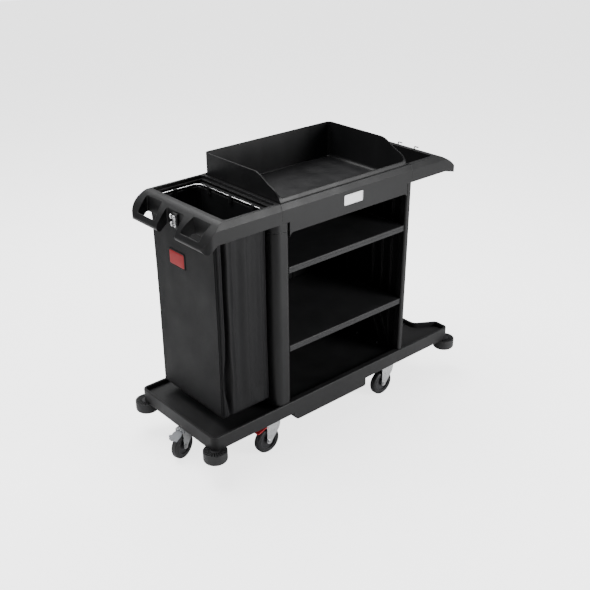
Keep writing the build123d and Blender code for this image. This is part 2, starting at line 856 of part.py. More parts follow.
def make_right_panel():
    """Bin-end panel: a wall that leans in towards its foot, beaded inside."""
    inner_x = cabinet_right - side_panel_wall
    knee = rim_top + right_bead_knee
    rails = shelf_rails(lambda z: right_face_x(z) - shelf_rail_width, lambda z: inner_x)
    with BuildPart() as right_end_panel:
        with BuildSketch(Plane.XY.offset(rim_top)):
            add(right_plan(right_panel_lean))
        with BuildSketch(Plane.XY.offset(frame_underside)):
            add(right_plan(0))
        loft()
        with BuildSketch(Plane.YZ.offset(inner_x - right_panel_lean - bead_height)):
            for y, kick in right_bead_places:
                with BuildLine():
                    Polyline(
                        (y, frame_underside - right_bead_top),
                        (y, knee),
                        (y - kick, deck_floor + right_bead_foot),
                    )
                trace(line_width=bead_width)
        extrude(amount=bead_height + right_panel_lean + 2)
        foot_x = cabinet_right - right_panel_lean - right_post_width / 2
        with BuildSketch(Plane.XY.offset(deck_floor)):
            for side in (-1, 1):
                with Locations((foot_x, side * (cabinet_back - foot_inset - right_foot_length / 2))):
                    Rectangle(right_post_width - 2 * right_foot_inset, right_foot_length)
            with Locations((cabinet_right - right_panel_lean - side_panel_wall / 2, 0)):
                Rectangle(side_panel_wall, cabinet_back - cabinet_front - right_post_depth)
        extrude(amount=rim_depth + 1)
        with BuildSketch(Plane.XY.offset(deck_floor)):
            for y in foot_tab_places:
                with Locations((foot_tab_x, y)):
                    Rectangle(foot_tab_length + 2, foot_tab_width)
        extrude(amount=foot_tab_height)
        add(rails)
    return right_end_panel.part


def make_back_panel():
    """Back sheet between the end panels, with upright beads on its inside."""
    low_x, high_x = post_right + piece_gap, right_face - piece_gap
    foot_x = high_x - right_panel_lean
    pitch = (foot_x - low_x) / back_beads
    bead_length = apron_bottom - rim_top - 2 * back_bead_stop
    with BuildPart() as back_panel:
        with BuildSketch(Plane.XZ.offset(-back_panel_y)):
            with BuildLine():
                Polyline(
                    (low_x, deck_floor),
                    (foot_x, deck_floor),
                    (high_x, frame_underside),
                    (high_x, frame_underside + piece_gap),
                    (cabinet_right - piece_gap, frame_underside + piece_gap),
                    (cabinet_right - piece_gap, ridge_height),
                    (apron_left + piece_gap, ridge_height),
                    (apron_left + piece_gap, frame_underside + piece_gap),
                    (low_x, frame_underside + piece_gap),
                    close=True,
                )
            make_face()
        extrude(amount=-back_panel_wall)
        with BuildSketch(Plane.XZ.offset(-back_panel_y)):
            for n in range(back_beads):
                with Locations((low_x + (n + 0.5) * pitch, (rim_top + apron_bottom) / 2)):
                    Rectangle(bead_width, bead_length)
        extrude(amount=bead_height)
    return back_panel.part


def make_apron():
    """Front apron under the tray: bevelled top edge, rounded corners to the opening."""
    front = cabinet_front
    low = apron_bottom - apron_corner_radius
    opening_right = right_face_x(low)
    opening_middle = (post_right + opening_right) / 2
    opening_width = opening_right - post_right - 2 * piece_gap
    with BuildPart() as front_apron:
        with BuildSketch(Plane.YZ.offset(apron_left + piece_gap)):
            with BuildLine():
                Polyline(
                    (front, frame_underside + piece_gap),
                    (front, ridge_height - apron_bevel_height),
                    (front + apron_bevel_depth, ridge_height),
                    (-tray_depth_front - piece_gap, ridge_height),
                    (-tray_depth_front - piece_gap, frame_underside + piece_gap),
                    close=True,
                )
            make_face()
        extrude(amount=cabinet_right - apron_left - 2 * piece_gap)
        with BuildSketch(Plane.XZ.offset(-front)):
            with Locations((opening_middle, (low + frame_underside + 10) / 2)):
                Rectangle(opening_width, frame_underside + 10 - low)
            with Locations((opening_middle, apron_bottom - 50)):
                RectangleRounded(opening_width, 100, apron_corner_radius, mode=Mode.SUBTRACT)
            with Locations((opening_middle, low)):
                Rectangle(opening_width, 0.4, mode=Mode.SUBTRACT)
        extrude(amount=-apron_wall)
        ridge = front_apron.edges().filter_by(Axis.X).group_by(Axis.Z)[-1].sort_by(Axis.Y)[0]
        fillet(ridge, apron_ridge_round)
    return front_apron.part


def make_shelf(top):
    """Shelf moulding: flat deck, rolled front lip with a fine groove, short side and back flanges."""
    front = cabinet_front + shelf_front_setback
    back = back_panel_y - shelf_back_gap
    left = post_right + piece_gap
    right = right_face_x(top - shelf_lip) - piece_gap
    centre = ((left + right) / 2, (front + back) / 2)
    length, depth = right - left, back - front
    with BuildPart() as shelf:
        with BuildSketch(Plane.XY.offset(top)):
            with Locations(centre):
                Rectangle(length, depth)
        extrude(amount=-shelf_lip)
        with BuildSketch(Plane.XY.offset(top - shelf_lip)):
            with Locations(centre):
                Rectangle(length - 2 * shelf_skin, depth - 2 * shelf_skin)
        extrude(amount=shelf_lip - shelf_skin, mode=Mode.SUBTRACT)
        lip = shelf.edges().filter_by(Axis.X).group_by(Axis.Z)[-1].sort_by(Axis.Y)[0]
        fillet(lip, shelf_bead)
        with BuildSketch(Plane.YZ.offset(left)):
            with Locations((front, top - shelf_groove_share * shelf_lip)):
                Rectangle(2 * shelf_groove_depth, shelf_groove_width)
        extrude(amount=length, mode=Mode.SUBTRACT)
    return shelf.part


# ---------------------------------------------------------------- top tray
def tray_plan(inset, centred_on):
    """Plan of the tray: rounded at the back, nearly square at the front."""
    x_low, x_high = tray_left + inset, tray_right - inset
    y_low, y_high = -tray_depth_front + inset, tray_depth_back - inset
    with BuildSketch(centred_on) as plan:
        with Locations(((x_low + x_high) / 2, (y_low + y_high) / 2)):
            Rectangle(x_high - x_low, y_high - y_low)
        corners = plan.vertices().sort_by(Axis.Y)
        fillet(corners[-2:], tray_corner_radius - inset)
        fillet(plan.vertices().sort_by(Axis.Y)[:2], tray_front_corner_radius)
    return plan.sketch


def tray_hollow():
    """Space inside the tray: its floor sweeps up to the front lip."""
    y_low = -tray_depth_front + tray_wall
    y_high = tray_depth_back - tray_wall
    gallery_top = ridge_height + gallery_rise
    with BuildPart() as hollow:
        with BuildSketch(Plane.YZ.offset(tray_left + tray_wall)) as side:
            with Locations(((y_low + y_high) / 2, (tray_floor_top + gallery_top + 20) / 2)):
                Rectangle(y_high - y_low, gallery_top + 20 - tray_floor_top)
            low = side.vertices().group_by(Axis.Y)[0].sort_by(Axis.X)
            fillet(low[0], tray_front_radius)
            low = side.vertices().group_by(Axis.Y)[0].sort_by(Axis.X)
            fillet(low[-1], tray_back_radius)
        extrude(amount=tray_right - tray_left - 2 * tray_wall)
        upright = hollow.edges().filter_by(Axis.Z).group_by(Axis.Y)[-1]
        fillet(upright, tray_corner_radius - tray_wall)
    return hollow.part


def make_tray():
    """Top tray: sunk pan with a raised gallery on the back and the two sides."""
    underside = tray_floor_top - tray_wall
    gallery_top = ridge_height + gallery_rise
    level_end = -tray_depth_front + gallery_fall
    pan = tray_plan(gallery_step, Plane.XY.offset(underside))
    with BuildPart() as top_tray:
        with BuildSketch(Plane.XY.offset(ridge_height - 1)):
            add(tray_plan(0, Plane.XY))
        extrude(amount=gallery_rise + 1)
        with BuildSketch(Plane.YZ.offset(tray_left - 5)):
            with BuildLine():
                fall = Spline(
                    (level_end, gallery_top),
                    (level_end - 0.55 * gallery_fall, gallery_top - 0.36 * gallery_rise),
                    (-tray_depth_front, ridge_height + tray_lip_rise),
                    tangents=((-1, 0), (-0.12, -1)),
                )
                Polyline(
                    fall @ 1,
                    (-tray_depth_front - 20, ridge_height + tray_lip_rise),
                    (-tray_depth_front - 20, gallery_top + 20),
                    (level_end, gallery_top + 20),
                    fall @ 0,
                )
            make_face()
        extrude(amount=tray_right - tray_left + 10, mode=Mode.SUBTRACT)
        extrude(pan, amount=tray_floor_drop + tray_wall, dir=(0, 0, 1))
        add(tray_hollow(), mode=Mode.SUBTRACT)
    return top_tray.part


# ---------------------------------------------------------------- end frames
def frame_profile(seam_x, ridge_x, tip_x, nose_height):
    """Side view of an end frame: level rail, then a rounded slope down to the grip's nose."""
    way = 1 if tip_x > seam_x else -1
    reach = abs(tip_x - ridge_x)
    tip_z = ridge_height - handle_tip_drop
    slope_points = [
        (ridge_x + way * share * reach, ridge_height - drop * handle_tip_drop)
        for share, drop in ((0.0, 0.0), (0.33, 0.17), (0.65, 0.46), (0.85, 0.71), (1.0, 1.0))
    ]
    with BuildSketch(Plane.XZ.offset(-frame_half_width)) as profile:
        with BuildLine():
            slope = Spline(*slope_points, tangents=((way, -0.1), (way * 0.2, -1)))
            nose = ThreePointArc(
                slope @ 1,
                (tip_x - way * 0.25 * nose_height, tip_z - 0.7 * nose_height),
                (tip_x - way * 0.9 * nose_height, tip_z - nose_height),
            )
            Polyline(
                nose @ 1,
                (ridge_x + way * 0.38 * reach, frame_underside),
                (seam_x, frame_underside),
                (seam_x, ridge_height),
                slope @ 0,
            )
        make_face()
    return profile.sketch


def round_handle_corners(tip_x, way):
    """Trim block that rounds an end frame's two outer corners in plan."""
    length = 2 * bag_handle_reach
    margin = 20.0
    with BuildSketch(Plane.XY.offset(ridge_height - 2 * frame_depth)) as keep:
        with Locations((tip_x - way * length / 2, 0)):
            Rectangle(length, 2 * frame_half_width)
        ends = keep.vertices().sort_by(Axis.X)
        fillet(ends[-2:] if way > 0 else ends[:2], handle_corner_radius)
    with BuildPart() as trim:
        with BuildSketch(Plane.XY.offset(ridge_height - 2 * frame_depth)):
            with Locations((tip_x - way * handle_corner_radius / 2, 0)):
                Rectangle(handle_corner_radius + 2 * margin, 2 * (frame_half_width + margin))
            add(keep.sketch, mode=Mode.SUBTRACT)
        extrude(amount=3 * frame_depth)
    return trim.part


def grip_cuts(tip_x, way):
    """Blocks for the two hand windows, which spread towards the bar, and the gap between."""
    bar_x = tip_x - way * grip_bar
    wall_x = bar_x - way * grip_window_depth
    low = ridge_height - 2 * frame_depth
    blocks = []
    for side in (-1, 1):
        with BuildPart() as window:
            with BuildSketch(Plane.XY.offset(low)) as plan:
                with BuildLine():
                    Polyline(
                        (wall_x, side * grip_wall_start),
                        (wall_x, side * grip_wall_end),
                        (bar_x, side * grip_bar_end),
                        (bar_x, side * grip_bar_start),
                        close=True,
                    )
                make_face()
                fillet(plan.vertices(), grip_corner_radius)
            extrude(amount=3 * frame_depth)
        blocks.append(window.part)
    beyond = 10.0
    with BuildPart() as gap:
        with BuildSketch(Plane.XY.offset(low)):
            with Locations((tip_x - way * (grip_gap_depth - beyond) / 2, 0)):
                RectangleRounded(grip_gap_depth + beyond, 2 * grip_gap_half, grip_gap_radius)
        extrude(amount=3 * frame_depth)
    blocks.append(gap.part)
    return blocks


def make_end_frame(seam_x, ridge_x, tip_x, nose_height):
    """Body of an end frame: profile across the cart, bevelled rails, grips and rounded corners."""
    way = 1 if tip_x > seam_x else -1
    side_view = frame_profile(seam_x, ridge_x, tip_x, nose_height)
    with BuildPart() as frame:
        add(side_view)
        extrude(amount=2 * frame_half_width, dir=(0, -1, 0))
        for side in (-1, 1):
            with BuildSketch(Plane.YZ.offset(min(seam_x, tip_x) - 30)):
                with BuildLine():
                    Polyline(
                        (side * frame_half_width, ridge_height - frame_bevel_height),
                        (side * (frame_half_width - frame_bevel_width), ridge_height),
                        (side * (frame_half_width - frame_bevel_width), ridge_height + 20),
                        (side * (frame_half_width + 20), ridge_height + 20),
                        (side * (frame_half_width + 20), ridge_height - frame_bevel_height),
                        close=True,
                    )
                make_face()
            extrude(amount=abs(tip_x - seam_x) + 60, mode=Mode.SUBTRACT)
        for block in (*grip_cuts(tip_x, way), round_handle_corners(tip_x, way)):
            add(block, mode=Mode.SUBTRACT)
    return frame.part


def make_bag_end_frame():
    """Bag-end frame: open ring over the bag, stepped inside, with a pocket and four saddles."""
    body = make_end_frame(apron_left, bag_ridge_x, bag_handle_tip, bag_nose_height)
    opening_length = bag_opening_right - bag_opening_left
    opening_middle = (bag_opening_left + bag_opening_right) / 2
    saddle_top = wire_height - wire_radius - wire_gap
    cut_low = frame_underside - 30
    with BuildPart() as bag_end_frame:
        add(body)
        with BuildSketch(Plane.XY.offset(cut_low)):
            with Locations((opening_middle, 0)):
                RectangleRounded(opening_length, 2 * frame_opening_half, bag_opening_radius)
        extrude(amount=frame_depth + 60, mode=Mode.SUBTRACT)
        for drop, side_ledge, far_ledge in ledge_steps:
            with BuildSketch(Plane.XY.offset(ridge_height - drop - ledge_height)):
                with Locations((opening_middle, 0)):
                    Rectangle(opening_length + 2, 2 * frame_opening_half + 2)
                with Locations((opening_middle - far_ledge - 5, 0)):
                    Rectangle(opening_length + 10, 2 * (frame_opening_half - side_ledge), mode=Mode.SUBTRACT)
            extrude(amount=ledge_height)
        with BuildSketch(Plane.XY.offset(cut_low)):
            with Locations((bag_opening_left - hem_pocket_depth / 2 + 10, 0)):
                Rectangle(hem_pocket_depth + 20, 2 * (frame_opening_half - hem_pocket_margin))
        extrude(amount=hem_pocket_ceiling - cut_low, mode=Mode.SUBTRACT)
        with BuildSketch(Plane.XY.offset(saddle_top - saddle_height)):
            for side in (-1, 1):
                for share in (-saddle_share, saddle_share):
                    y_wall = side * (frame_opening_half + saddle_bite)
                    y_end = side * (wire_width / 2 - saddle_bite)
                    with Locations((wire_centre_x + share * wire_length, (y_wall + y_end) / 2)):
                        Rectangle(saddle_length, abs(y_wall - y_end))
        extrude(amount=saddle_height)
    return bag_end_frame.part


def make_bin_end_frame():
    """Bin-end frame: the same grips, with a shallow bin sunk between the rails."""
    body = make_end_frame(cabinet_right, bin_ridge_x, bin_handle_tip, bin_nose_height)
    bin_low = cabinet_right - bin_start_overlap + bin_wall
    bin_high = bin_ridge_x - bin_outer_rail
    bin_floor = frame_underside + bin_floor_height
    pan_half = tray_depth_back
    with BuildPart() as bin_end_frame:
        add(body)
        with BuildSketch(Plane.XY.offset(frame_underside + piece_gap)):
            with Locations((cabinet_right - bin_start_overlap / 2 + 5, 0)):
                Rectangle(bin_start_overlap + 10, 2 * pan_half)
        extrude(amount=frame_depth - piece_gap)
        with BuildSketch(Plane.XY.offset(bin_floor)):
            with Locations(((bin_low + bin_high) / 2, 0)):
                RectangleRounded(bin_high - bin_low, 2 * (pan_half - bin_wall), bin_corner_radius)
        extrude(amount=frame_depth, mode=Mode.SUBTRACT)
    return bin_end_frame.part


# ---------------------------------------------------------------- linen bag
def make_wire():
    """Plated wire hoop that carries the bag's hem: half a hoop, and its mirror image."""
    half_y = wire_width / 2
    far_x = wire_centre_x + wire_length / 2
    with BuildPart() as bag_wire_frame:
        with BuildLine() as path:
            FilletPolyline(
                (wire_centre_x, -half_y, wire_height),
                (far_x, -half_y, wire_height),
                (far_x, half_y, wire_height),
                (wire_centre_x, half_y, wire_height),
                radius=wire_corner_radius,
            )
        with BuildSketch(Plane(origin=path.line @ 0, z_dir=path.line % 0)):
            Circle(wire_radius)
        sweep(path=path.line)
        mirror(about=Plane.YZ.offset(wire_centre_x))
    return bag_wire_frame.part


def make_bag():
    """Linen bag as a plain open-topped shell with rounded corners."""
    with BuildPart() as linen_bag:
        with BuildSketch(Plane.XY.offset(bag_bottom)):
            with Locations((wire_centre_x, 0)):
                RectangleRounded(bag_length, bag_width, bag_corner_radius)
        extrude(amount=bag_top - bag_bottom)
        fillet(linen_bag.faces().sort_by(Axis.Z)[0].edges(), bag_foot_radius)
        with BuildSketch(Plane.XY.offset(bag_bottom + bag_wall)):
            with Locations((wire_centre_x, 0)):
                RectangleRounded(
                    bag_length - 2 * bag_wall, bag_width - 2 * bag_wall, bag_corner_radius - bag_wall
                )
        extrude(amount=bag_top, mode=Mode.SUBTRACT)
    return linen_bag.part


def make_badge():
    """Blank sewn badge on the bag's end face."""
    face_x = wire_centre_x - bag_length / 2 - sewn_gap
    with BuildPart() as bag_badge:
        with BuildSketch(Plane.YZ.offset(face_x)):
            with Locations((badge_y, badge_z)):
                RectangleRounded(badge_width, badge_height, badge_corner_radius)
        extrude(amount=-badge_thickness)
    return bag_badge.part


def make_snaps():
    """Press studs on the inside of the bag's hem, one solid each."""
    z = bag_top - snap_drop
    inside_x = bag_length / 2 - bag_wall - sewn_gap
    inside_y = bag_width / 2 - bag_wall - sewn_gap
    with BuildPart() as snaps:
        for side in (-1, 1):
            for y in (-wire_width / 3, 0, wire_width / 3):
                with BuildSketch(Plane.YZ.offset(wire_centre_x + side * inside_x)):
                    with Locations((y, z)):
                        Circle(snap_radius)
                extrude(amount=-side * snap_height)
            with BuildSketch(Plane.XZ.offset(-side * inside_y)):
                with Locations((wire_centre_x, z)):
                    Circle(snap_radius)
            extrude(amount=side * snap_height)
    return snaps.part


# ---------------------------------------------------------------- small fittings
def make_name_plate():
    """Blank metal plate on the apron, with a raised border."""
    face = -cabinet_front
    with BuildPart() as name_plate:
        with BuildSketch(Plane.XZ.offset(face)):
            with Locations((plate_sign_x, plate_sign_z)):
                RectangleRounded(plate_sign_width, plate_sign_height, plate_sign_radius)
        extrude(amount=plate_sign_thickness)
        with BuildSketch(Plane.XZ.offset(face + plate_sign_thickness)):
            with Locations((plate_sign_x, plate_sign_z)):
                RectangleRounded(
                    plate_sign_width - 2 * plate_sign_border,
                    plate_sign_height - 2 * plate_sign_border,
                    plate_sign_radius / 2,
                )
        extrude(amount=-plate_sign_relief, mode=Mode.SUBTRACT)
    return name_plate.part


def make_hook_base():
    """Black block at the bottom of the gap between the grips, which carries the hook."""
    wall_x = bag_handle_tip + grip_gap_depth
    top = ridge_height - hook_base_drop
    with BuildPart() as hook_base:
        with BuildSketch(Plane.YZ.offset(wall_x - screw_gap)):
            with Locations((0, top - hook_base_height / 2)):
                RectangleRounded(hook_base_width, hook_base_height, hook_base_radius)
        extrude(amount=-hook_base_depth)
        fillet(hook_base.faces().sort_by(Axis.X)[0].edges(), hook_base_round)
    return hook_base.part


def make_hook_prongs():
    """Plated double hook: one prong above the other, each turned up and ended in a ball."""
    root_x = bag_handle_tip + grip_gap_depth - screw_gap - hook_base_depth
    top = ridge_height - hook_base_drop
    turn = hook_bend * (1 - math.sqrt(0.5))
    with BuildPart() as double_hook:
        for drop, reach, rise in hook_prongs:
            root_z = top - drop
            with BuildLine() as path:
                run = Line((root_x, 0, root_z), (root_x - reach + hook_bend, 0, root_z))
                bend = ThreePointArc(
                    run @ 1,
                    (root_x - reach + turn, 0, root_z + turn),
                    (root_x - reach, 0, root_z + hook_bend),
                )
                Line(bend @ 1, (root_x - reach, 0, root_z + rise))
            with BuildSketch(Plane(origin=path.line @ 0, z_dir=path.line % 0)):
                Circle(hook_bar_radius)
            sweep(path=path.line)
            with Locations((root_x - reach, 0, root_z + rise)):
                Sphere(hook_bar_radius + hook_ball)
        with BuildSketch(Plane.YZ.offset(root_x)):
            with Locations((0, top - hook_plate_drop)):
                RectangleRounded(hook_plate_width, hook_plate_height, hook_plate_radius)
        extrude(amount=-hook_plate_thickness)
    return double_hook.part


def make_rail_hooks():
    """Two small bent-wire hooks that stand on the bin end's ridge and point to the front."""
    x = bin_ridge_x + rail_hook_inset
    top = ridge_height + rail_hook_rise
    turn = rail_hook_bend * math.sqrt(0.5)
    with BuildPart() as rail_hooks:
        for y in rail_hook_places:
            with BuildLine() as path:
                post = Line((x, y, ridge_height), (x, y, top))
                bend = ThreePointArc(
                    post @ 1,
                    (x, y - rail_hook_bend + turn, top + turn),
                    (x, y - rail_hook_bend, top + rail_hook_bend),
                )
                Line(bend @ 1, (x, y - rail_hook_reach, top + rail_hook_bend))
            with BuildSketch(Plane(origin=path.line @ 0, z_dir=path.line % 0)):
                Circle(rail_hook_radius)
            sweep(path=path.line)
            with Locations((x, y - rail_hook_reach, top + rail_hook_bend)):
                Sphere(rail_hook_radius + rail_hook_ball)
    return rail_hooks.part


def make_panel_screws():
    """Round-headed screws: three in the bag-end wall, three through the bin-end wall's tabs."""
    left_face = post_right - left_wall_setback + screw_gap
    tab_top = deck_floor + foot_tab_height
    with BuildPart() as screws:
        for y in left_screw_places:
            with BuildSketch(Plane.YZ.offset(left_face)):
                with Locations((y, rim_top + left_screw_rise)):
                    Circle(screw_head_radius)
            extrude(amount=screw_head_height)
        with BuildSketch(Plane.XY.offset(tab_top + screw_gap)):
            with Locations(*[(foot_tab_x, y) for y in foot_tab_places]):
                Circle(screw_head_radius)
        extrude(amount=screw_head_height)
    return screws.part


def copies(piece, places):
    """The same fastener at several places, as one group of separate solids."""
    return Compound(children=[Pos(x, y, 0) * piece for x, y in places])


os.makedirs("parts", exist_ok=True)
save(make_deck(), "base_deck")
bumper = make_bumper()
for bumper_name, (bumper_x, bumper_y) in bumper_places().items():
    save(Pos(bumper_x, bumper_y, 0) * bumper, bumper_name)
save(copies(make_bumper_bolt(), bumper_places().values()), "bumper_bolts")
save_casters()
save(copies(make_plate_bolt(), bolt_places()), "caster_bolts")
save(make_left_panel(), "left_end_panel")
save(make_right_panel(), "right_end_panel")
save(make_back_panel(), "back_panel")
save(make_apron(), "front_apron")
for shelf_name, shelf_top in shelf_tops.items():
    save(make_shelf(shelf_top), shelf_name)
save(make_tray(), "top_tray")
save(make_bag_end_frame(), "bag_end_frame")
save(make_bin_end_frame(), "bin_end_frame")
save(make_wire(), "bag_wire_frame")
save(make_bag(), "linen_bag")
save(make_badge(), "bag_badge")
save(make_snaps(), "snap_studs")
save(make_name_plate(), "name_plate")
save(make_hook_base(), "handle_hook_base")
save(make_hook_prongs(), "handle_hook_prongs")
save(make_rail_hooks(), "rail_hooks")
save(make_panel_screws(), "panel_screws")
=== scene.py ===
"""Looks of the housekeeping cart: finishes for the moulded, plated and rubber parts, and
the hung linen bag with its hem, tabs, stitching and badge.  Metres, in the frame of the part.
"""

import json
import math

import bmesh
import bpy
from mathutils import Matrix, Vector, noise
from mathutils.bvhtree import BVHTree


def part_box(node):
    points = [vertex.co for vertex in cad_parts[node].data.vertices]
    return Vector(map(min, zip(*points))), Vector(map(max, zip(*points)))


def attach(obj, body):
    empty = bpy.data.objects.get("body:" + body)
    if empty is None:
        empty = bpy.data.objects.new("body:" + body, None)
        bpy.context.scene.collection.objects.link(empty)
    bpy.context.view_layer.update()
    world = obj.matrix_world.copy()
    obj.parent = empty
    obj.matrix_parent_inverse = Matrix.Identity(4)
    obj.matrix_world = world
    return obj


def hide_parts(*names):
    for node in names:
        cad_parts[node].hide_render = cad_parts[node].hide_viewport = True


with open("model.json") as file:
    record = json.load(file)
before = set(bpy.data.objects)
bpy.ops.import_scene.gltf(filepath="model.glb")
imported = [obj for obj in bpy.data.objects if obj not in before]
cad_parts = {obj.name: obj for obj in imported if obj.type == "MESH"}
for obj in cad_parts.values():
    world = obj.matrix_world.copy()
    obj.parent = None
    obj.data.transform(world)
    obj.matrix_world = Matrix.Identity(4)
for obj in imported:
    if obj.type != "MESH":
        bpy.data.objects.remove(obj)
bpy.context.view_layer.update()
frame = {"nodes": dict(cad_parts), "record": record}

MM = 0.001
SEED = 7

# ---------------------------------------------------------------- camera
CAMERA_PLACE = Vector((-2.5148, -2.8467, 2.4337))
CAMERA_AZIMUTH = math.radians(-40.92)
CAMERA_ELEVATION = math.radians(26.18)
CAMERA_ROLL = math.radians(-0.52)
CAMERA_LENS = 54.54


def place_camera():
    """Camera at the front corner of the bag end, a little above the handles."""
    azimuth, elevation = CAMERA_AZIMUTH, CAMERA_ELEVATION
    level = Vector((math.cos(azimuth), math.sin(azimuth), 0))
    back = Vector((
        math.sin(azimuth) * math.cos(elevation),
        -math.cos(azimuth) * math.cos(elevation),
        math.sin(elevation),
    ))
    right = level * math.cos(CAMERA_ROLL) + back.cross(level) * math.sin(CAMERA_ROLL)
    up = back.cross(right)
    data = bpy.data.cameras.new("corner_camera")
    data.sensor_width = 36
    data.lens = CAMERA_LENS
    data.clip_end = 60
    camera = bpy.data.objects.new("corner_camera", data)
    turn = Matrix((right, up, back)).transposed()
    camera.matrix_world = Matrix.Translation(CAMERA_PLACE) @ turn.to_4x4()
    bpy.context.scene.collection.objects.link(camera)
    bpy.context.scene.camera = camera


# ---------------------------------------------------------------- studio
def softbox(name, place, target, size, power, tint=(1, 1, 1)):
    """Square area light that faces its target."""
    data = bpy.data.lights.new(name, "AREA")
    data.shape = "RECTANGLE"
    data.size, data.size_y = size
    data.energy = power
    data.color = tint
    lamp = bpy.data.objects.new(name, data)
    aim = (Vector(target) - Vector(place)).to_track_quat("-Z", "Y")
    lamp.matrix_world = Matrix.Translation(place) @ aim.to_matrix().to_4x4()
    bpy.context.scene.collection.objects.link(lamp)


WORLD_LIGHT = 0.26
WORLD_SEEN = 3.0


def light_studio():
    """Soft light from the open front and from above, and a weak fill at the bag end."""
    softbox("front_softbox", (2.2, -4.2, 1.7), (0, 0, 0.75), (1.7, 2.2), 260)
    softbox("roof_softbox", (-0.3, 1.2, 4.2), (0, 0, 0.8), (4.4, 3.4), 330)
    softbox("bag_end_softbox", (-4.2, 0.8, 1.8), (-0.4, 0, 0.8), (1.0, 2.2), 34)
    world = bpy.data.worlds.new("studio_air")
    world.use_nodes = True
    air = world.node_tree.nodes["Background"]
    air.inputs["Color"].default_value = (0.97, 0.98, 1.0, 1)
    seen = add_node(world.node_tree, "ShaderNodeLightPath").outputs["Is Camera Ray"]
    strength = remap(world.node_tree, seen, 0, 1, WORLD_LIGHT, WORLD_SEEN)
    link(world.node_tree, strength, air.inputs["Strength"])
    bpy.context.scene.world = world


# ---------------------------------------------------------------- node helpers
def add_node(tree, kind, **settings):
    """New shader node; a setting is a property, or a socket's value if it is named so."""
    made = tree.nodes.new(kind)
    for name, value in settings.items():
        if hasattr(made, name):
            setattr(made, name, value)
        else:
            made.inputs[name.replace("_", " ")].default_value = value
    return made


def link(tree, source, target):
    tree.links.new(source, target)


def fed(tree, socket, value):
    """Sets a socket to a number, or links it to another socket."""
    if isinstance(value, bpy.types.NodeSocket):
        link(tree, value, socket)
    else:
        socket.default_value = value


def arithmetic(tree, operation, first, second=0.0, clamp=False):
    """Math node's result for two numbers or sockets."""
    made = add_node(tree, "ShaderNodeMath", operation=operation, use_clamp=clamp)
    fed(tree, made.inputs[0], first)
    fed(tree, made.inputs[1], second)
    return made.outputs[0]


def remap(tree, value, low, high, to_low=0.0, to_high=1.0, smooth=False):
    """Value from low..high to to_low..to_high, clamped."""
    made = add_node(tree, "ShaderNodeMapRange")
    if smooth:
        made.interpolation_type = "SMOOTHSTEP"
    fed(tree, made.inputs["Value"], value)
    made.inputs["From Min"].default_value = low
    made.inputs["From Max"].default_value = high
    made.inputs["To Min"].default_value = to_low
    made.inputs["To Max"].default_value = to_high
    return made.outputs["Result"]


def grown(tree, vector, scale):
    """Vector scaled evenly, or along each axis where scale has three numbers."""
    made = add_node(tree, "ShaderNodeMapping")
    link(tree, vector, made.inputs["Vector"])
    made.inputs["Scale"].default_value = scale if hasattr(scale, "__len__") else (scale,) * 3
    return made.outputs["Vector"]


def noise_value(tree, vector, scale, detail=2.0, roughness=0.5, distortion=0.0):
    made = add_node(tree, "ShaderNodeTexNoise")
    link(tree, vector, made.inputs["Vector"])
    fed(tree, made.inputs["Scale"], scale)
    made.inputs["Detail"].default_value = detail
    made.inputs["Roughness"].default_value = roughness
    made.inputs["Distortion"].default_value = distortion
    return made.outputs["Fac"]


def mixed_colour(tree, factor, first, second):
    """Colour between two colours or sockets."""
    made = add_node(tree, "ShaderNodeMix", data_type="RGBA")
    fed(tree, made.inputs[0], factor)
    fed(tree, made.inputs[6], first)
    fed(tree, made.inputs[7], second)
    return made.outputs[2]


def effect_group(name, inputs, outputs):
    """Empty shader node group; inputs and outputs are (name, socket kind, default) rows."""
    tree = bpy.data.node_groups.new(name, "ShaderNodeTree")
    for label, kind, default in inputs:
        socket = tree.interface.new_socket(label, in_out="INPUT", socket_type=kind)
        if default is not None:
            socket.default_value = default
    for label, kind in outputs:
        tree.interface.new_socket(label, in_out="OUTPUT", socket_type=kind)
    return tree, tree.nodes.new("NodeGroupInput").outputs, tree.nodes.new("NodeGroupOutput").inputs


FLOAT, VECTOR = "NodeSocketFloat", "NodeSocketVector"


# ---------------------------------------------------------------- shared effects
def build_moulded_grain():
    """Fine stipple of a textured mould, and the slow cloudiness of the plastic's tone."""
    tree, given, out = effect_group(
        "moulded_grain",
        [("Position", VECTOR, None), ("Grain", FLOAT, 900.0), ("Cloud", FLOAT, 6.0)],
        [("Height", FLOAT), ("Tone", FLOAT), ("Flow", FLOAT)],
    )
    pits = add_node(tree, "ShaderNodeTexVoronoi", feature="SMOOTH_F1")
    link(tree, given["Position"], pits.inputs["Vector"])
    link(tree, given["Grain"], pits.inputs["Scale"])
    fine = noise_value(tree, given["Position"], given["Grain"], detail=3, roughness=0.6)
    height = arithmetic(tree, "ADD", arithmetic(tree, "MULTIPLY", pits.outputs["Distance"], 0.6), fine)
    link(tree, height, out["Height"])
    cloud = noise_value(tree, given["Position"], given["Cloud"], detail=4, roughness=0.55)
    link(tree, remap(tree, cloud, 0.3, 0.7), out["Tone"])
    flow = noise_value(tree, grown(tree, given["Position"], (1.0, 1.0, 0.25)), 11.0, detail=3, distortion=0.6)
    link(tree, remap(tree, flow, 0.35, 0.68), out["Flow"])
    return tree


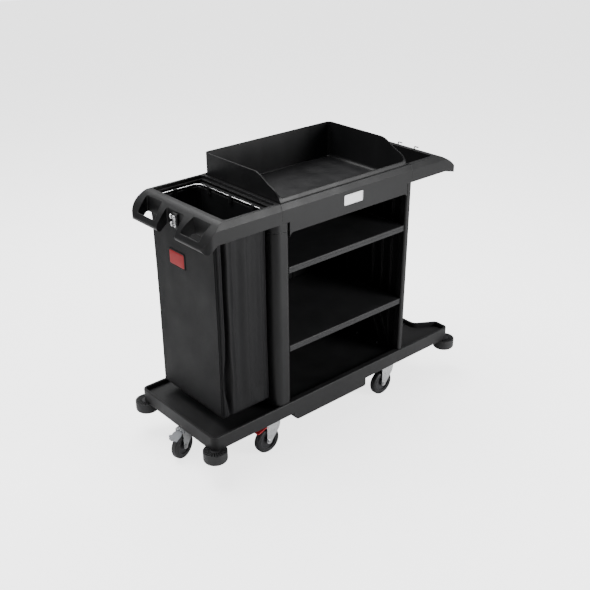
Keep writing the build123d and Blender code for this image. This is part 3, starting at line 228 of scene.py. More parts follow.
def build_edge_wear_and_painted_light():
    """Mask of the rounded edges, and the normal that rounds them; the finishes paint rubbed wear with the
    mask, and also a painted highlight on the plastic and a painted shade on the plate.
    """
    tree, given, out = effect_group(
        "edge_wear_and_painted_light",
        [("Position", VECTOR, None), ("Radius", FLOAT, 0.0015)],
        [("Edge", FLOAT), ("Normal", VECTOR)],
    )
    round_off = add_node(tree, "ShaderNodeBevel", samples=4)
    link(tree, given["Radius"], round_off.inputs["Radius"])
    surface = add_node(tree, "ShaderNodeNewGeometry")
    dot = add_node(tree, "ShaderNodeVectorMath", operation="DOT_PRODUCT")
    link(tree, round_off.outputs["Normal"], dot.inputs[0])
    link(tree, surface.outputs["Normal"], dot.inputs[1])
    rounded_edge_mask = remap(tree, dot.outputs["Value"], 0.998, 0.9, smooth=True)
    patches = remap(tree, noise_value(tree, given["Position"], 38.0, detail=4), 0.3, 0.75, 0.35, 1.0)
    link(tree, arithmetic(tree, "MULTIPLY", rounded_edge_mask, patches), out["Edge"])
    link(tree, round_off.outputs["Normal"], out["Normal"])
    return tree


def build_handling():
    """Settled dust on what faces up, and thin scuffs, as two masks."""
    tree, given, out = effect_group(
        "handling",
        [("Position", VECTOR, None)],
        [("Dust", FLOAT), ("Scuff", FLOAT)],
    )
    surface = add_node(tree, "ShaderNodeNewGeometry")
    split = add_node(tree, "ShaderNodeSeparateXYZ")
    link(tree, surface.outputs["Normal"], split.inputs[0])
    up = remap(tree, split.outputs["Z"], 0.55, 0.98, smooth=True)
    drift = remap(tree, noise_value(tree, given["Position"], 9.0, detail=6, roughness=0.65), 0.42, 0.72)
    specks = remap(tree, noise_value(tree, given["Position"], 420.0, detail=2), 0.62, 0.78)
    dust = arithmetic(tree, "MULTIPLY", up, arithmetic(tree, "ADD", drift, specks, clamp=True))
    link(tree, dust, out["Dust"])
    stretched = grown(tree, given["Position"], (5.0, 46.0, 46.0))
    streak = noise_value(tree, stretched, 4.0, detail=5, roughness=0.7, distortion=1.5)
    scuff = remap(tree, streak, 0.66, 0.74)
    link(tree, scuff, out["Scuff"])
    return tree


def build_plating():
    """Bright plating: soft spangle, drawn grain and the dull patches of handled metal."""
    tree, given, out = effect_group(
        "plating",
        [("Position", VECTOR, None), ("Grain", FLOAT, 160.0)],
        [("Height", FLOAT), ("Tone", FLOAT), ("Dull", FLOAT)],
    )
    spangle = add_node(tree, "ShaderNodeTexVoronoi", feature="F1")
    link(tree, given["Position"], spangle.inputs["Vector"])
    link(tree, given["Grain"], spangle.inputs["Scale"])
    split = add_node(tree, "ShaderNodeSeparateColor")
    link(tree, spangle.outputs["Color"], split.inputs[0])
    drawn = noise_value(tree, grown(tree, given["Position"], (60.0, 60.0, 900.0)), 1.0, detail=3)
    link(tree, drawn, out["Height"])
    link(tree, arithmetic(tree, "MULTIPLY", split.outputs[0], drawn), out["Tone"])
    link(tree, remap(tree, noise_value(tree, given["Position"], 55.0, detail=5), 0.42, 0.66), out["Dull"])
    return tree


def build_weave():
    """Plain weave that follows the cloth's own map: threads over and under, and slubs."""
    tree, given, out = effect_group(
        "plain_weave",
        [("Map", VECTOR, None), ("Threads", FLOAT, 900.0)],
        [("Height", FLOAT), ("Tone", FLOAT)],
    )
    strands = []
    for direction in ("X", "Y"):
        wave = add_node(tree, "ShaderNodeTexWave", wave_type="BANDS", bands_direction=direction)
        link(tree, given["Map"], wave.inputs["Vector"])
        link(tree, given["Threads"], wave.inputs["Scale"])
        wave.inputs["Distortion"].default_value = 0.4
        strands.append(wave.outputs["Fac"])
    crossed = arithmetic(tree, "MULTIPLY", strands[0], strands[1])
    slub = noise_value(tree, grown(tree, given["Map"], (40.0, 500.0, 1.0)), 1.0, detail=3)
    link(tree, arithmetic(tree, "ADD", crossed, arithmetic(tree, "MULTIPLY", slub, 0.5)), out["Height"])
    link(tree, remap(tree, slub, 0.3, 0.7), out["Tone"])
    return tree


moulded_grain = build_moulded_grain()
edge_wear_and_painted_light = build_edge_wear_and_painted_light()
handling = build_handling()
plating = build_plating()
plain_weave = build_weave()


def placed(tree, group, **values):
    """Node of a shared effect, with its inputs linked or set."""
    made = tree.nodes.new("ShaderNodeGroup")
    made.node_tree = group
    for name, value in values.items():
        fed(tree, made.inputs[name], value)
    return made.outputs


def new_finish(name):
    """Material with a bare Principled shader; returns the material, tree, shader and position."""
    finish = bpy.data.materials.new(name)
    finish.use_nodes = True
    tree = finish.node_tree
    shader = tree.nodes["Principled BSDF"]
    where = add_node(tree, "ShaderNodeTexCoord").outputs["Object"]
    return finish, tree, shader, where


def bumped(tree, shader, height, strength, distance, normal=None):
    """Feeds a height into the shader's normal, over a rounded normal where one is given."""
    bump = add_node(tree, "ShaderNodeBump")
    bump.inputs["Strength"].default_value = strength
    bump.inputs["Distance"].default_value = distance
    link(tree, height, bump.inputs["Height"])
    if normal is not None:
        link(tree, normal, bump.inputs["Normal"])
    link(tree, bump.outputs["Normal"], shader.inputs["Normal"])


# ---------------------------------------------------------------- finishes
def moulded_plastic(name, colour, roughness, grain=1100.0, relief=0.00012, rub_and_highlight=0.035, radius=0.0022):
    """Black textured plastic: stippled, a little cloudy, paler and smoother on its edges, the paler edges
    being rubbed wear and a painted highlight.
    """
    finish, tree, shader, where = new_finish(name)
    skin = placed(tree, moulded_grain, Position=where, Grain=grain, Cloud=5.0)
    edge = placed(tree, edge_wear_and_painted_light, Position=where, Radius=radius)
    wear = placed(tree, handling, Position=where)
    dark = (*(0.82 * part for part in colour), 1)
    pale = (*(1.16 * part for part in colour), 1)
    # Paler colour: rubbed wear in the scuffs, and on the edges also a painted highlight.
    rubbed_and_highlight = (*(part + rub_and_highlight for part in colour), 1)
    dusty = (*(part + 0.012 for part in colour), 1)
    tone = mixed_colour(tree, skin["Tone"], dark, pale)
    tone = mixed_colour(tree, arithmetic(tree, "MULTIPLY", wear["Dust"], 0.35), tone, dusty)
    tone = mixed_colour(tree, arithmetic(tree, "MULTIPLY", wear["Scuff"], 0.25), tone, rubbed_and_highlight)
    # Painted highlight: the rounded edges are lightened, partly as rubbed wear, to stand for gloss catching
    # the light.
    tone = mixed_colour(tree, edge["Edge"], tone, rubbed_and_highlight)
    link(tree, tone, shader.inputs["Base Color"])
    shine = remap(tree, skin["Flow"], 0.0, 1.0, roughness - 0.04, roughness + 0.05)
    shine = arithmetic(tree, "SUBTRACT", shine, arithmetic(tree, "MULTIPLY", edge["Edge"], 0.08))
    shine = arithmetic(tree, "ADD", shine, arithmetic(tree, "MULTIPLY", wear["Dust"], 0.08))
    link(tree, shine, shader.inputs["Roughness"])
    shader.inputs["Specular IOR Level"].default_value = 0.24
    bumped(tree, shader, skin["Height"], 0.35, relief, edge["Normal"])
    return finish


def soft_rubber(name, colour, roughness):
    """Matt rubber with a bloom of paler dust and small nicks."""
    finish, tree, shader, where = new_finish(name)
    skin = placed(tree, moulded_grain, Position=where, Grain=700.0, Cloud=24.0)
    edge = placed(tree, edge_wear_and_painted_light, Position=where, Radius=0.001)
    wear = placed(tree, handling, Position=where)
    plain = (*colour, 1)
    bloom = (*(part + 0.01 for part in colour), 1)
    nicked = (*(part + 0.03 for part in colour), 1)
    tone = mixed_colour(tree, skin["Tone"], plain, bloom)
    tone = mixed_colour(tree, arithmetic(tree, "MULTIPLY", wear["Scuff"], 0.5), tone, nicked)
    tone = mixed_colour(tree, arithmetic(tree, "MULTIPLY", edge["Edge"], 0.6), tone, bloom)
    link(tree, tone, shader.inputs["Base Color"])
    shine = remap(tree, skin["Flow"], 0, 1, roughness - 0.07, roughness + 0.06)
    link(tree, shine, shader.inputs["Roughness"])
    shader.inputs["Specular IOR Level"].default_value = 0.4
    bumped(tree, shader, skin["Height"], 0.4, 0.00015, edge["Normal"])
    return finish


def plated_metal(name, colour, roughness, grain=160.0, dull=0.16):
    """Bright plated steel with a fine grain, pale spangle and dulled patches."""
    finish, tree, shader, where = new_finish(name)
    coat = placed(tree, plating, Position=where, Grain=grain)
    edge = placed(tree, edge_wear_and_painted_light, Position=where, Radius=0.0006)
    shade = (*(0.78 * part for part in colour), 1)
    tone = mixed_colour(tree, coat["Tone"], shade, (*colour, 1))
    tone = mixed_colour(tree, arithmetic(tree, "MULTIPLY", coat["Dull"], 0.3), tone, shade)
    link(tree, tone, shader.inputs["Base Color"])
    shader.inputs["Metallic"].default_value = 1.0
    link(tree, remap(tree, coat["Dull"], 0, 1, roughness, roughness + dull), shader.inputs["Roughness"])
    bumped(tree, shader, coat["Height"], 0.25, 0.00005, edge["Normal"])
    return finish


def painted_pedal(name, colour, worn, roughness):
    """Coloured plastic pedal, scuffed through to a paler tone where shoes press it."""
    finish, tree, shader, where = new_finish(name)
    skin = placed(tree, moulded_grain, Position=where, Grain=900.0, Cloud=30.0)
    edge = placed(tree, edge_wear_and_painted_light, Position=where, Radius=0.0012)
    wear = placed(tree, handling, Position=where)
    tone = mixed_colour(tree, skin["Tone"], (*(0.85 * part for part in colour), 1), (*colour, 1))
    tone = mixed_colour(tree, arithmetic(tree, "MULTIPLY", wear["Scuff"], 0.6), tone, (*worn, 1))
    tone = mixed_colour(tree, arithmetic(tree, "MULTIPLY", edge["Edge"], 0.5), tone, (*worn, 1))
    link(tree, tone, shader.inputs["Base Color"])
    shine = remap(tree, skin["Flow"], 0, 1, roughness - 0.05, roughness + 0.08)
    link(tree, shine, shader.inputs["Roughness"])
    bumped(tree, shader, skin["Height"], 0.3, 0.0001, edge["Normal"])
    return finish


def coated_cloth(name, colour, threads=820.0):
    """Black coated bag cloth: fine weave in the cloth's own map, soft sheen, paler cloudy patches."""
    finish, tree, shader, where = new_finish(name)
    cloth_map = add_node(tree, "ShaderNodeUVMap", uv_map="cloth").outputs["UV"]
    weave = placed(tree, plain_weave, Map=cloth_map, Threads=threads)
    cloud = noise_value(tree, where, 7.0, detail=5, roughness=0.6)
    dark = (*(0.8 * part for part in colour), 1)
    pale = (*(1.3 * part for part in colour), 1)
    tone = mixed_colour(tree, weave["Tone"], dark, (*colour, 1))
    tone = mixed_colour(tree, remap(tree, cloud, 0.4, 0.75, 0.0, 0.6), tone, pale)
    link(tree, tone, shader.inputs["Base Color"])
    link(tree, remap(tree, cloud, 0.3, 0.7, 0.5, 0.62), shader.inputs["Roughness"])
    shader.inputs["Specular IOR Level"].default_value = 0.2
    shader.inputs["Sheen Weight"].default_value = 0.015
    shader.inputs["Sheen Roughness"].default_value = 0.4
    bumped(tree, shader, weave["Height"], 0.3, 0.00025)
    return finish


def brushed_plate(name, colour):
    """Brushed sheet metal, its grain along the plate, with a painted shade rim along its edges where it is
    recessed.
    """
    finish, tree, shader, where = new_finish(name)
    lines = noise_value(tree, grown(tree, where, (30.0, 900.0, 2400.0)), 1.0, detail=4, roughness=0.7)
    edge = placed(tree, edge_wear_and_painted_light, Position=where, Radius=0.0012)
    tone = mixed_colour(tree, lines, (*(0.7 * part for part in colour), 1), (*colour, 1))
    # Painted shade: the edges are darkened to stand for the shade in the recess around the plate.
    tone = mixed_colour(tree, edge["Edge"], tone, (0.05, 0.05, 0.055, 1))
    link(tree, tone, shader.inputs["Base Color"])
    shader.inputs["Metallic"].default_value = 1.0
    link(tree, remap(tree, lines, 0.3, 0.7, 0.28, 0.42), shader.inputs["Roughness"])
    bumped(tree, shader, lines, 0.3, 0.00004, edge["Normal"])
    return finish


PAPER_GLOW = 2.6


def pale_paper(name):
    """Seamless studio paper under the cart, which the camera sees lifted towards white."""
    finish, tree, shader, where = new_finish(name)
    fibre = noise_value(tree, where, 6.0, detail=6)
    tone = mixed_colour(tree, fibre, (0.9, 0.9, 0.905, 1), (0.93, 0.93, 0.93, 1))
    link(tree, tone, shader.inputs["Base Color"])
    shader.inputs["Roughness"].default_value = 0.75
    link(tree, tone, shader.inputs["Emission Color"])
    seen = add_node(tree, "ShaderNodeLightPath").outputs["Is Camera Ray"]
    link(tree, arithmetic(tree, "MULTIPLY", seen, PAPER_GLOW), shader.inputs["Emission Strength"])
    return finish


finishes = {
    "body_plastic": moulded_plastic("body_plastic", (0.008, 0.008, 0.0084), 0.4),
    "deck_plastic": moulded_plastic("deck_plastic", (0.013, 0.013, 0.0135), 0.47),
    "shelf_plastic": moulded_plastic("shelf_plastic", (0.02, 0.02, 0.021), 0.46),
    "tray_plastic": moulded_plastic("tray_plastic", (0.007, 0.007, 0.0075), 0.4),
    "bumper_rubber": soft_rubber("bumper_rubber", (0.008, 0.008, 0.009), 0.58),
    "tyre_rubber": soft_rubber("tyre_rubber", (0.008, 0.008, 0.009), 0.48),
    "wheel_centre": moulded_plastic("wheel_centre", (0.03, 0.03, 0.032), 0.4),
    "zinc_plate": plated_metal("zinc_plate", (0.78, 0.79, 0.8), 0.26),
    "bright_steel": plated_metal("bright_steel", (0.66, 0.66, 0.67), 0.3, grain=320.0),
    "bright_wire": plated_metal("bright_wire", (0.86, 0.86, 0.87), 0.16, grain=260.0, dull=0.1),
    "dark_steel": moulded_plastic("dark_steel", (0.02, 0.02, 0.022), 0.3, grain=1600.0),
    "pedal_red": painted_pedal("pedal_red", (0.55, 0.02, 0.03), (0.7, 0.25, 0.22), 0.36),
    "pedal_grey": painted_pedal("pedal_grey", (0.2, 0.21, 0.23), (0.42, 0.43, 0.45), 0.45),
    "bag_fabric": coated_cloth("bag_fabric", (0.0055, 0.0055, 0.0062)),
    "thread": soft_rubber("thread", (0.03, 0.03, 0.032), 0.6),
    "badge_red": painted_pedal("badge_red", (0.34, 0.0, 0.004), (0.34, 0.002, 0.006), 0.5),
    "plate_aluminium": brushed_plate("plate_aluminium", (0.8, 0.8, 0.81)),
}


def finish_cad_nodes():
    """Gives every CAD node the finish that its material slot names."""
    for row in frame["record"]["subparts"]:
        node = frame["nodes"][row["node"]]
        finish = finishes[row["material_slot"]]
        if not node.material_slots:
            node.data.materials.append(finish)
        for place in node.material_slots:
            place.material = finish


def add_piece(name, mesh_maker, finish_names, body="cart", replaces=()):
    """Object from a bmesh, with its finishes, on its body."""
    mesh = bpy.data.meshes.new(name)
    mesh_maker.to_mesh(mesh)
    mesh_maker.free()
    for finish_name in finish_names:
        mesh.materials.append(finishes[finish_name])
    piece = bpy.data.objects.new(name, mesh)
    bpy.context.scene.collection.objects.link(piece)
    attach(piece, body)
    if replaces:
        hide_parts(*replaces)
    return piece


def smooth_faces(shape):
    for face in shape.faces:
        face.smooth = True


# ---------------------------------------------------------------- linen bag
bag_low, bag_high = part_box("linen_bag")
bag_middle = (bag_low + bag_high) / 2
bag_size = bag_high - bag_low
BAG_ROWS = 62
BAG_COLUMNS_ALONG = 44
BAG_COLUMNS_ACROSS = 52
BAG_CORNER = 18 * MM
BAG_WALL = 1.4 * MM
HEM_BAND = 66 * MM
HEM_STEP = 1.2 * MM
PINNED_BAND = 26 * MM
SIM_FRAMES = 22
SIM_REACH = 9 * MM


PINCH_PLACE, PINCH_DEPTH = 11 * MM, 7 * MM
GUSSET_PLACE, GUSSET_DEPTH = 39 * MM, 34 * MM
SWELL_PLACE, SWELL_DEPTH = 104 * MM, 7 * MM
RIDGE_PLACE, RIDGE_HEIGHT = 66 * MM, 4 * MM
SEAM_ALONG, SEAM_DEPTH = 151 * MM, 2 * MM
PANEL_PLACE, PANEL_DEPTH = 196 * MM, 4.5 * MM
CREASE_PLACE, CREASE_DEPTH = 233 * MM, 4 * MM
GAPE_RISE = 0.2
FOLD_SWAY = 4 * MM
WALL_BUCKLE = 2.5 * MM
END_SLACK = 3 * MM
BADGE_FLAT_REACH = 40 * MM


def bell(distance, half_width):
    """Smooth bump: 1 at no distance, near 0 past the half width."""
    return math.exp(-((distance / half_width) ** 2))


def edges_along(shape, axis):
    """Edges that run along one axis, 0 to 2."""
    found = []
    for edge in shape.edges:
        run = edge.verts[1].co - edge.verts[0].co
        if abs(run[axis]) > 0.9 * run.length:
            found.append(edge)
    return found


def bag_blank():
    """Open-topped box of cloth in a square grid, with rounded corners and a rounded foot."""
    shape = bmesh.new()
    bmesh.ops.create_cube(shape, size=1)
    bmesh.ops.scale(shape, vec=bag_size, verts=shape.verts)
    bmesh.ops.translate(shape, vec=bag_middle, verts=shape.verts)
    lid = max(shape.faces, key=lambda face: face.calc_center_median().z)
    bmesh.ops.delete(shape, geom=[lid], context="FACES")
    for axis, cuts in ((2, BAG_ROWS), (0, BAG_COLUMNS_ACROSS), (1, BAG_COLUMNS_ALONG)):
        bmesh.ops.subdivide_edges(shape, edges=edges_along(shape, axis), cuts=cuts, use_grid_fill=True)
    corners = [
        edge
        for edge in edges_along(shape, 2)
        if all(on_corner(vert.co) for vert in edge.verts)
    ]
    bmesh.ops.bevel(
        shape, geom=corners, offset=BAG_CORNER, offset_type="OFFSET", affect="EDGES",
        segments=4, profile=0.5, material=-1, clamp_overlap=False,
    )
    return shape


def on_corner(place):
    """True for a point on one of the box's four upright corners."""
    return (
        abs(abs(place.x - bag_middle.x) - bag_size.x / 2) < 0.1 * MM
        and abs(abs(place.y) - bag_size.y / 2) < 0.1 * MM
    )


def map_cloth(shape):
    """Cloth map in metres: along the wall and up, or across the foot."""
    layer = shape.loops.layers.uv.new("cloth")
    shape.normal_update()
    for face in shape.faces:
        for loop in face.loops:
            place = loop.vert.co
            if abs(face.normal.z) > 0.7:
                loop[layer].uv = (place.x, place.y)
            elif abs(face.normal.x) > abs(face.normal.y):
                loop[layer].uv = (place.y, place.z)
            else:
                loop[layer].uv = (place.x, place.z)


def wall_folds(along, height):
    """Inward depth of the pinched folds on a short wall, by the distance from its outer end."""
    rise = (height - bag_low.z) / bag_size.z
    free = min(1.0, max(0.0, (1 - rise) / 0.16)) ** 0.5
    foot = min(1.0, rise / 0.1)
    gape = bell(rise - GAPE_RISE, 0.1)
    sway = FOLD_SWAY * noise.noise(Vector((0, 0, rise * 5 + SEED)))
    gusset = GUSSET_DEPTH * bell(along - GUSSET_PLACE - sway + 7 * MM * gape, (7.5 + 9 * gape) * MM)
    pinch = PINCH_DEPTH * bell(along - PINCH_PLACE - 0.5 * sway, 5 * MM)
    ridge = RIDGE_HEIGHT * bell(along - RIDGE_PLACE, 13 * MM)
    swell = SWELL_DEPTH * bell(along - SWELL_PLACE + 2 * sway, 24 * MM) - ridge
    panel = swell + PANEL_DEPTH * bell(along - PANEL_PLACE - 2 * sway, 20 * MM)
    crease = CREASE_DEPTH * bell(along - CREASE_PLACE, 7 * MM)
    seam = SEAM_DEPTH * bell(along - SEAM_ALONG, 3 * MM)
    return free * (gusset * (0.4 + 0.6 * foot) + pinch + panel * foot + crease) + seam


def fold_cloth(shape):
    """Pushes the gusset folds into the short walls and a light swell into the long ones."""
    for vert in shape.verts:
        place = vert.co
        side = place.y / (bag_size.y / 2)
        if abs(side) > 0.96:
            along = place.x - bag_low.x
            buckle = WALL_BUCKLE * noise.noise(Vector((place.x * 14, side, place.z * 5 + SEED)))
            held = min(1.0, max(0.0, (bag_high.z - HEM_BAND - place.z) / (80 * MM)))
            place.y -= math.copysign(wall_folds(along, place.z) + held * buckle, side)
        end = (place.x - bag_middle.x) / (bag_size.x / 2)
        if abs(end) > 0.9:
            rise = (place.z - bag_low.z) / bag_size.z
            slack = math.sin(math.pi * min(1.0, rise * 1.02)) * END_SLACK
            ripple = noise.noise(Vector((0, place.y * 9, place.z * 2.2 + SEED)))
            place.x -= math.copysign(slack * (0.6 + ripple), end)


def hang_cloth(piece):
    """Lets the bag hang from its hem: the cloth settles, buckles a little and is applied."""
    rest = [vert.co.copy() for vert in piece.data.vertices]
    pins = piece.vertex_groups.new(name="hem")
    for index, place in enumerate(rest):
        drop = (bag_high.z - place.z) / PINNED_BAND
        held = max(0.0, min(1.0, 2 - drop))
        if held > 0:
            pins.add([index], held, "REPLACE")
    cloth = piece.modifiers.new("hanging", "CLOTH")
    settings = cloth.settings
    settings.vertex_group_mass = "hem"
    settings.quality = 6
    settings.mass = 0.35
    settings.tension_stiffness = 30
    settings.compression_stiffness = 12
    settings.shear_stiffness = 8
    settings.bending_stiffness = 0.8
    settings.shrink_min = -0.012
    settings.air_damping = 2
    cloth.collision_settings.use_collision = False
    cloth.point_cache.frame_end = SIM_FRAMES
    for step in range(1, SIM_FRAMES + 1):
        bpy.context.scene.frame_set(step)
    evaluated = piece.evaluated_get(bpy.context.evaluated_depsgraph_get())
    settled = [vert.co.copy() for vert in evaluated.data.vertices]
    piece.modifiers.remove(cloth)
    bpy.context.scene.frame_set(1)
    for vert, start, end in zip(piece.data.vertices, rest, settled):
        shift = end - start
        reach = min(1.0, SIM_REACH / max(shift.length, 1e-9))
        vert.co = start + shift * reach


def tidy_cloth(piece):
    """Keeps the cloth clear of the cabinet, flat behind the badge, and thicker at its hem."""
    badge_low, badge_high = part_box("bag_badge")
    for vert in piece.data.vertices:
        place = vert.co
        place.x = min(place.x, bag_high.x)
        place.z = max(place.z, bag_low.z)
        band = min(1.0, max(0.0, (place.z - bag_high.z + HEM_BAND) / (2 * MM)))
        away = Vector((place.x - bag_middle.x, place.y, 0)).normalized()
        place += away * HEM_STEP * band * (1 if place.x < bag_middle.x + 0.11 else 0)
        if place.x < bag_low.x + 20 * MM:
            over = max(badge_low.y - place.y, place.y - badge_high.y, 0)
            above = max(badge_low.z - place.z, place.z - badge_high.z, 0)
            near = max(0.0, 1 - math.hypot(over, above) / BADGE_FLAT_REACH)
            flat = near * near * (3 - 2 * near)
            place.x += (bag_low.x - place.x) * flat
    piece.data.update()


def make_linen_bag():
    shape = bag_blank()
    map_cloth(shape)
    fold_cloth(shape)
    smooth_faces(shape)
    bag = add_piece("hung_linen_bag", shape, ["bag_fabric"], replaces=["linen_bag"])
    hang_cloth(bag)
    tidy_cloth(bag)
    finer = bag.modifiers.new("softened", "SUBSURF")
    finer.levels = finer.render_levels = 1
    wall = bag.modifiers.new("cloth_thickness", "SOLIDIFY")
    wall.thickness = BAG_WALL
    wall.offset = -1
    return bag


# ---------------------------------------------------------------- hem tabs, studs and stitches
WIRE_GAP = 0.4 * MM
TAB_WIDTH = 18 * MM
TAB_WALL = 1.0 * MM
TAB_OUTSIDE_DROP = 34 * MM
TAB_INSIDE_DROP = 30 * MM
TAB_STEPS = 30
STITCH_PITCH = 4.6 * MM
STITCH_SIZE = (1.5 * MM, 0.5 * MM, 0.55 * MM)
HEM_STITCH_HEIGHT = bag_high.z - HEM_BAND + 3 * MM
SEAM_STITCH_SHIFT = 5 * MM
CORNER_CLEAR = 24 * MM
RAY_START = 40 * MM
RAY_REACH = 120 * MM
TAB_COLUMNS = 8
TAB_LEAN = 1.6 * MM
TAB_CROWN = 0.6 * MM
TAB_MAP_LENGTH = 80 * MM
STUD_STEPS = 24
STUD_SINK = 0.1 * MM
STUD_PROFILE = (
    (0.0, 3.4), (1.8, 3.3), (3.2, 2.8), (4.2, 2.0), (4.6, 1.2),
    (5.3, 1.6), (6.0, 1.1), (6.2, 0.3), (5.8, 0.0), (0.0, 0.0),
)


def stud_rows():
    """Each press stud's place on the hem, and the way out of the bag there."""
    low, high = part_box("snap_studs")
    wire_low, wire_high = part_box("bag_wire_frame")
    middle_z = (low.z + high.z) / 2
    third = (wire_high.y - wire_low.y) / 3
    rows = []
    for side, x in ((-1, low.x), (1, high.x)):
        for y in (-third, 0.0, third):
            rows.append((Vector((x, y, middle_z)), Vector((side, 0, 0))))
    for side, y in ((-1, low.y), (1, high.y)):
        rows.append((Vector((bag_middle.x, y, middle_z)), Vector((0, side, 0))))
    return rows


def turned_to(outward):
    """Turn that takes local -Y to the way out of the bag, and keeps Z up."""
    if outward.y > 0.5:
        return Matrix.Rotation(math.pi, 4, "Z")
    return Vector((0, -1, 0)).rotation_difference(outward).to_matrix().to_4x4()


def tab_path(share, wire_radius, wire_z):
    """Place along a tab: up the outside, over the wire, and down the inside."""
    bend = wire_radius + WIRE_GAP + TAB_WALL
    low_out, low_in = wire_z - TAB_OUTSIDE_DROP, wire_z - TAB_INSIDE_DROP
    lengths = (wire_z - low_out, math.pi * bend, wire_z - low_in)
    travel = share * sum(lengths)
    if travel < lengths[0]:
        lean = TAB_LEAN * (1 - travel / lengths[0])
        return -bend - lean, low_out + travel
    travel -= lengths[0]
    if travel < lengths[1]:
        angle = travel / bend
        return -bend * math.cos(angle), wire_z + bend * math.sin(angle)
    return bend, wire_z - (travel - lengths[1])


def make_hem_tabs():
    """Cloth tabs that fold over the wire at every stud and are sewn to the hem."""
    wire_low, wire_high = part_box("bag_wire_frame")
    radius = (wire_high.z - wire_low.z) / 2
    wire_z = (wire_high.z + wire_low.z) / 2
    all_tabs = bmesh.new()
    layer = all_tabs.loops.layers.uv.new("cloth")
    for stud, outward in stud_rows():
        before = set(all_tabs.verts)
        bmesh.ops.create_grid(all_tabs, x_segments=TAB_COLUMNS, y_segments=TAB_STEPS, size=0.5)
        mine = [vert for vert in all_tabs.verts if vert not in before]
        for face in all_tabs.faces:
            if face.verts[0] in before:
                continue
            face.smooth = True
            for loop in face.loops:
                loop[layer].uv = (loop.vert.co.x * TAB_WIDTH, loop.vert.co.y * TAB_MAP_LENGTH)
        for vert in mine:
            across, along = vert.co.x, vert.co.y + 0.5
            y, z = tab_path(along, radius, wire_z)
            crown = TAB_CROWN * (1 - (2 * across) ** 2)
            vert.co = Vector((across * TAB_WIDTH, y - crown * (1 if along < 0.5 else -1), z))
        centre = Vector((stud.x, stud.y, 0))
        if outward.x:
            centre.x = wire_high.x - radius if outward.x > 0 else wire_low.x + radius
        else:
            centre.y = math.copysign(wire_high.y - radius, outward.y)
        turn = turned_to(outward)
        bmesh.ops.transform(all_tabs, matrix=Matrix.Translation(centre) @ turn, verts=mine)
    bmesh.ops.recalc_face_normals(all_tabs, faces=all_tabs.faces)
    tabs = add_piece("hem_tabs", all_tabs, ["bag_fabric"])
    wall = tabs.modifiers.new("tab_thickness", "SOLIDIFY")
    wall.thickness = TAB_WALL
    wall.offset = 0
    return tabs


def make_studs():
    """Domed press studs: a spun profile with a rolled rim, on the inside of the hem."""
    shape = bmesh.new()
    for stud, outward in stud_rows():
        before = set(shape.verts)
        row = [shape.verts.new((radius * MM, 0, rise * MM)) for radius, rise in STUD_PROFILE]
        edges = [shape.edges.new(pair) for pair in zip(row, row[1:])]
        bmesh.ops.spin(
            shape, geom=row + edges, cent=(0, 0, 0), axis=(0, 0, 1), dvec=(0, 0, 0),
            angle=2 * math.pi, steps=STUD_STEPS, use_merge=True, use_normal_flip=False, use_duplicate=False,
        )
        mine = [vert for vert in shape.verts if vert not in before]
        bmesh.ops.remove_doubles(shape, verts=mine, dist=0.01 * MM)
        mine = [vert for vert in shape.verts if vert not in before]
        turn = Vector((0, 0, 1)).rotation_difference(-outward).to_matrix().to_4x4()
        foot = stud + outward * STUD_SINK
        bmesh.ops.transform(shape, matrix=Matrix.Translation(foot) @ turn, verts=mine)
    smooth_faces(shape)
    bmesh.ops.recalc_face_normals(shape, faces=shape.faces)
    return add_piece("domed_studs", shape, ["bright_steel"], replaces=["snap_studs"])


def stitch(shape, place, way, outward):
    """One raised stitch: a slim rounded grain of thread."""
    side = outward.cross(way).normalized()
    turn = Matrix((way.normalized(), side, outward.normalized())).transposed().to_4x4()
    size = Matrix.Diagonal((*STITCH_SIZE, 1))
    bmesh.ops.create_icosphere(
        shape, subdivisions=1, radius=1, matrix=Matrix.Translation(place) @ turn @ size
    )


def wall_stitches(shape, skin, starts):
    """Stitches where rays meet the cloth; each start has a place, a way in and a run."""
    for start, inward, run in starts:
        place, normal, _, _ = skin.ray_cast(start, inward, RAY_REACH)
        if place is None:
            continue
        way = run - normal * run.dot(normal)
        stitch(shape, place, way, normal)


def make_stitches(bag):
    """Thread of the hem and of the two upright seams."""
    skin = BVHTree.FromObject(bag, bpy.context.evaluated_depsgraph_get())
    starts = []
    for side in (-1, 1):
        count = int((bag_size.y - 2 * CORNER_CLEAR) / STITCH_PITCH)
        for n in range(count):
            y = bag_low.y + CORNER_CLEAR + (n + 0.5) * STITCH_PITCH
            start = Vector((bag_middle.x + side * (bag_size.x / 2 + RAY_START), y, HEM_STITCH_HEIGHT))
            starts.append((start, Vector((-side, 0, 0)), Vector((0, 1, 0))))
        count = int((bag_size.x - 2 * CORNER_CLEAR) / STITCH_PITCH)
        for n in range(count):
            x = bag_low.x + CORNER_CLEAR + (n + 0.5) * STITCH_PITCH
            start = Vector((x, side * (bag_size.y / 2 + RAY_START), HEM_STITCH_HEIGHT))
            starts.append((start, Vector((0, -side, 0)), Vector((1, 0, 0))))
        count = int((HEM_STITCH_HEIGHT - bag_low.z - 2 * CORNER_CLEAR) / STITCH_PITCH)
        for n in range(count):
            z = bag_low.z + CORNER_CLEAR + (n + 0.5) * STITCH_PITCH
            x = bag_low.x + SEAM_ALONG + SEAM_STITCH_SHIFT
            start = Vector((x, side * (bag_size.y / 2 + RAY_START), z))
            starts.append((start, Vector((0, -side, 0)), Vector((0, 0, 1))))
    shape = bmesh.new()
    wall_stitches(shape, skin, starts)
    smooth_faces(shape)
    return add_piece("thread_stitches", shape, ["thread"])


# ---------------------------------------------------------------- badge
BADGE_EDGE_STEPS = ((0.0, 1.6), (1.2, 0.5), (5.6, 0.0), (0.6, -0.5))
BADGE_FIELD_STEPS = ((0.8, 0.9), (2.4, 0.7), (5.0, 0.5), (8.0, 0.25))


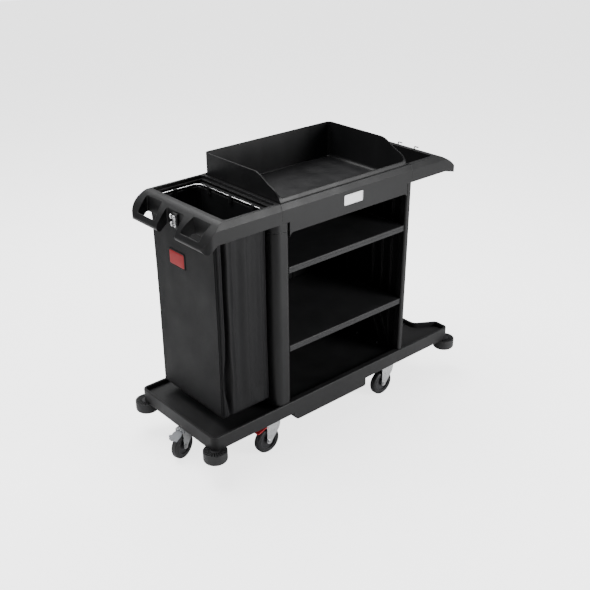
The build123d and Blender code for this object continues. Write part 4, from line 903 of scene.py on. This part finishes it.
def make_badge():
    """Blank sewn badge: a padded red field inside a dark bound border."""
    low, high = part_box("bag_badge")
    width, height = high.y - low.y, high.z - low.z
    shape = bmesh.new()
    bmesh.ops.create_grid(shape, x_segments=1, y_segments=1, size=0.5)
    bmesh.ops.scale(shape, vec=(width, height, 1), verts=shape.verts)
    bmesh.ops.bevel(
        shape, geom=shape.verts[:], offset=9 * MM, offset_type="OFFSET", affect="VERTICES",
        segments=6, profile=0.5, material=-1,
    )
    field = shape.faces[:]
    border_faces = set()
    for steps, border in ((BADGE_EDGE_STEPS, True), (BADGE_FIELD_STEPS, False)):
        for shrink, rise in steps:
            before = set(shape.faces) - set(field)
            lifted = bmesh.ops.extrude_face_region(shape, geom=field)["geom"]
            if border_faces:
                bmesh.ops.delete(shape, geom=field, context="FACES_ONLY")
            field = [item for item in lifted if isinstance(item, bmesh.types.BMFace)]
            rim = list({vert for face in field for vert in face.verts})
            grow = (1 - 2 * shrink * MM / width, 1 - 2 * shrink * MM / height, 1)
            bmesh.ops.scale(shape, vec=grow, verts=rim)
            bmesh.ops.translate(shape, vec=(0, 0, rise * MM), verts=rim)
            if border:
                border_faces |= set(shape.faces) - before - set(field)
    for face in shape.faces:
        face.material_index = 0 if face in border_faces else 1
        face.smooth = True
    layer = shape.loops.layers.uv.new("cloth")
    for face in shape.faces:
        for loop in face.loops:
            loop[layer].uv = loop.vert.co.xy
    turn = Matrix(((0, 0, -1), (-1, 0, 0), (0, 1, 0))).to_4x4()
    bmesh.ops.transform(shape, matrix=turn, verts=shape.verts)
    middle = (low + high) / 2
    bmesh.ops.translate(shape, vec=(bag_low.x - 0.3 * MM, middle.y, middle.z), verts=shape.verts)
    bmesh.ops.recalc_face_normals(shape, faces=shape.faces)
    return add_piece(
        "sewn_badge", shape, ["bag_fabric", "badge_red"], replaces=["bag_badge"]
    )


# ---------------------------------------------------------------- floor
def make_floor():
    shape = bmesh.new()
    bmesh.ops.create_grid(shape, x_segments=1, y_segments=1, size=14)
    mesh = bpy.data.meshes.new("studio_paper")
    shape.to_mesh(mesh)
    shape.free()
    mesh.materials.append(pale_paper("studio_paper"))
    floor = bpy.data.objects.new("studio_paper", mesh)
    bpy.context.scene.collection.objects.link(floor)


place_camera()
light_studio()
make_floor()
finish_cad_nodes()
linen_bag = make_linen_bag()
make_hem_tabs()
make_studs()
make_stitches(linen_bag)
make_badge()
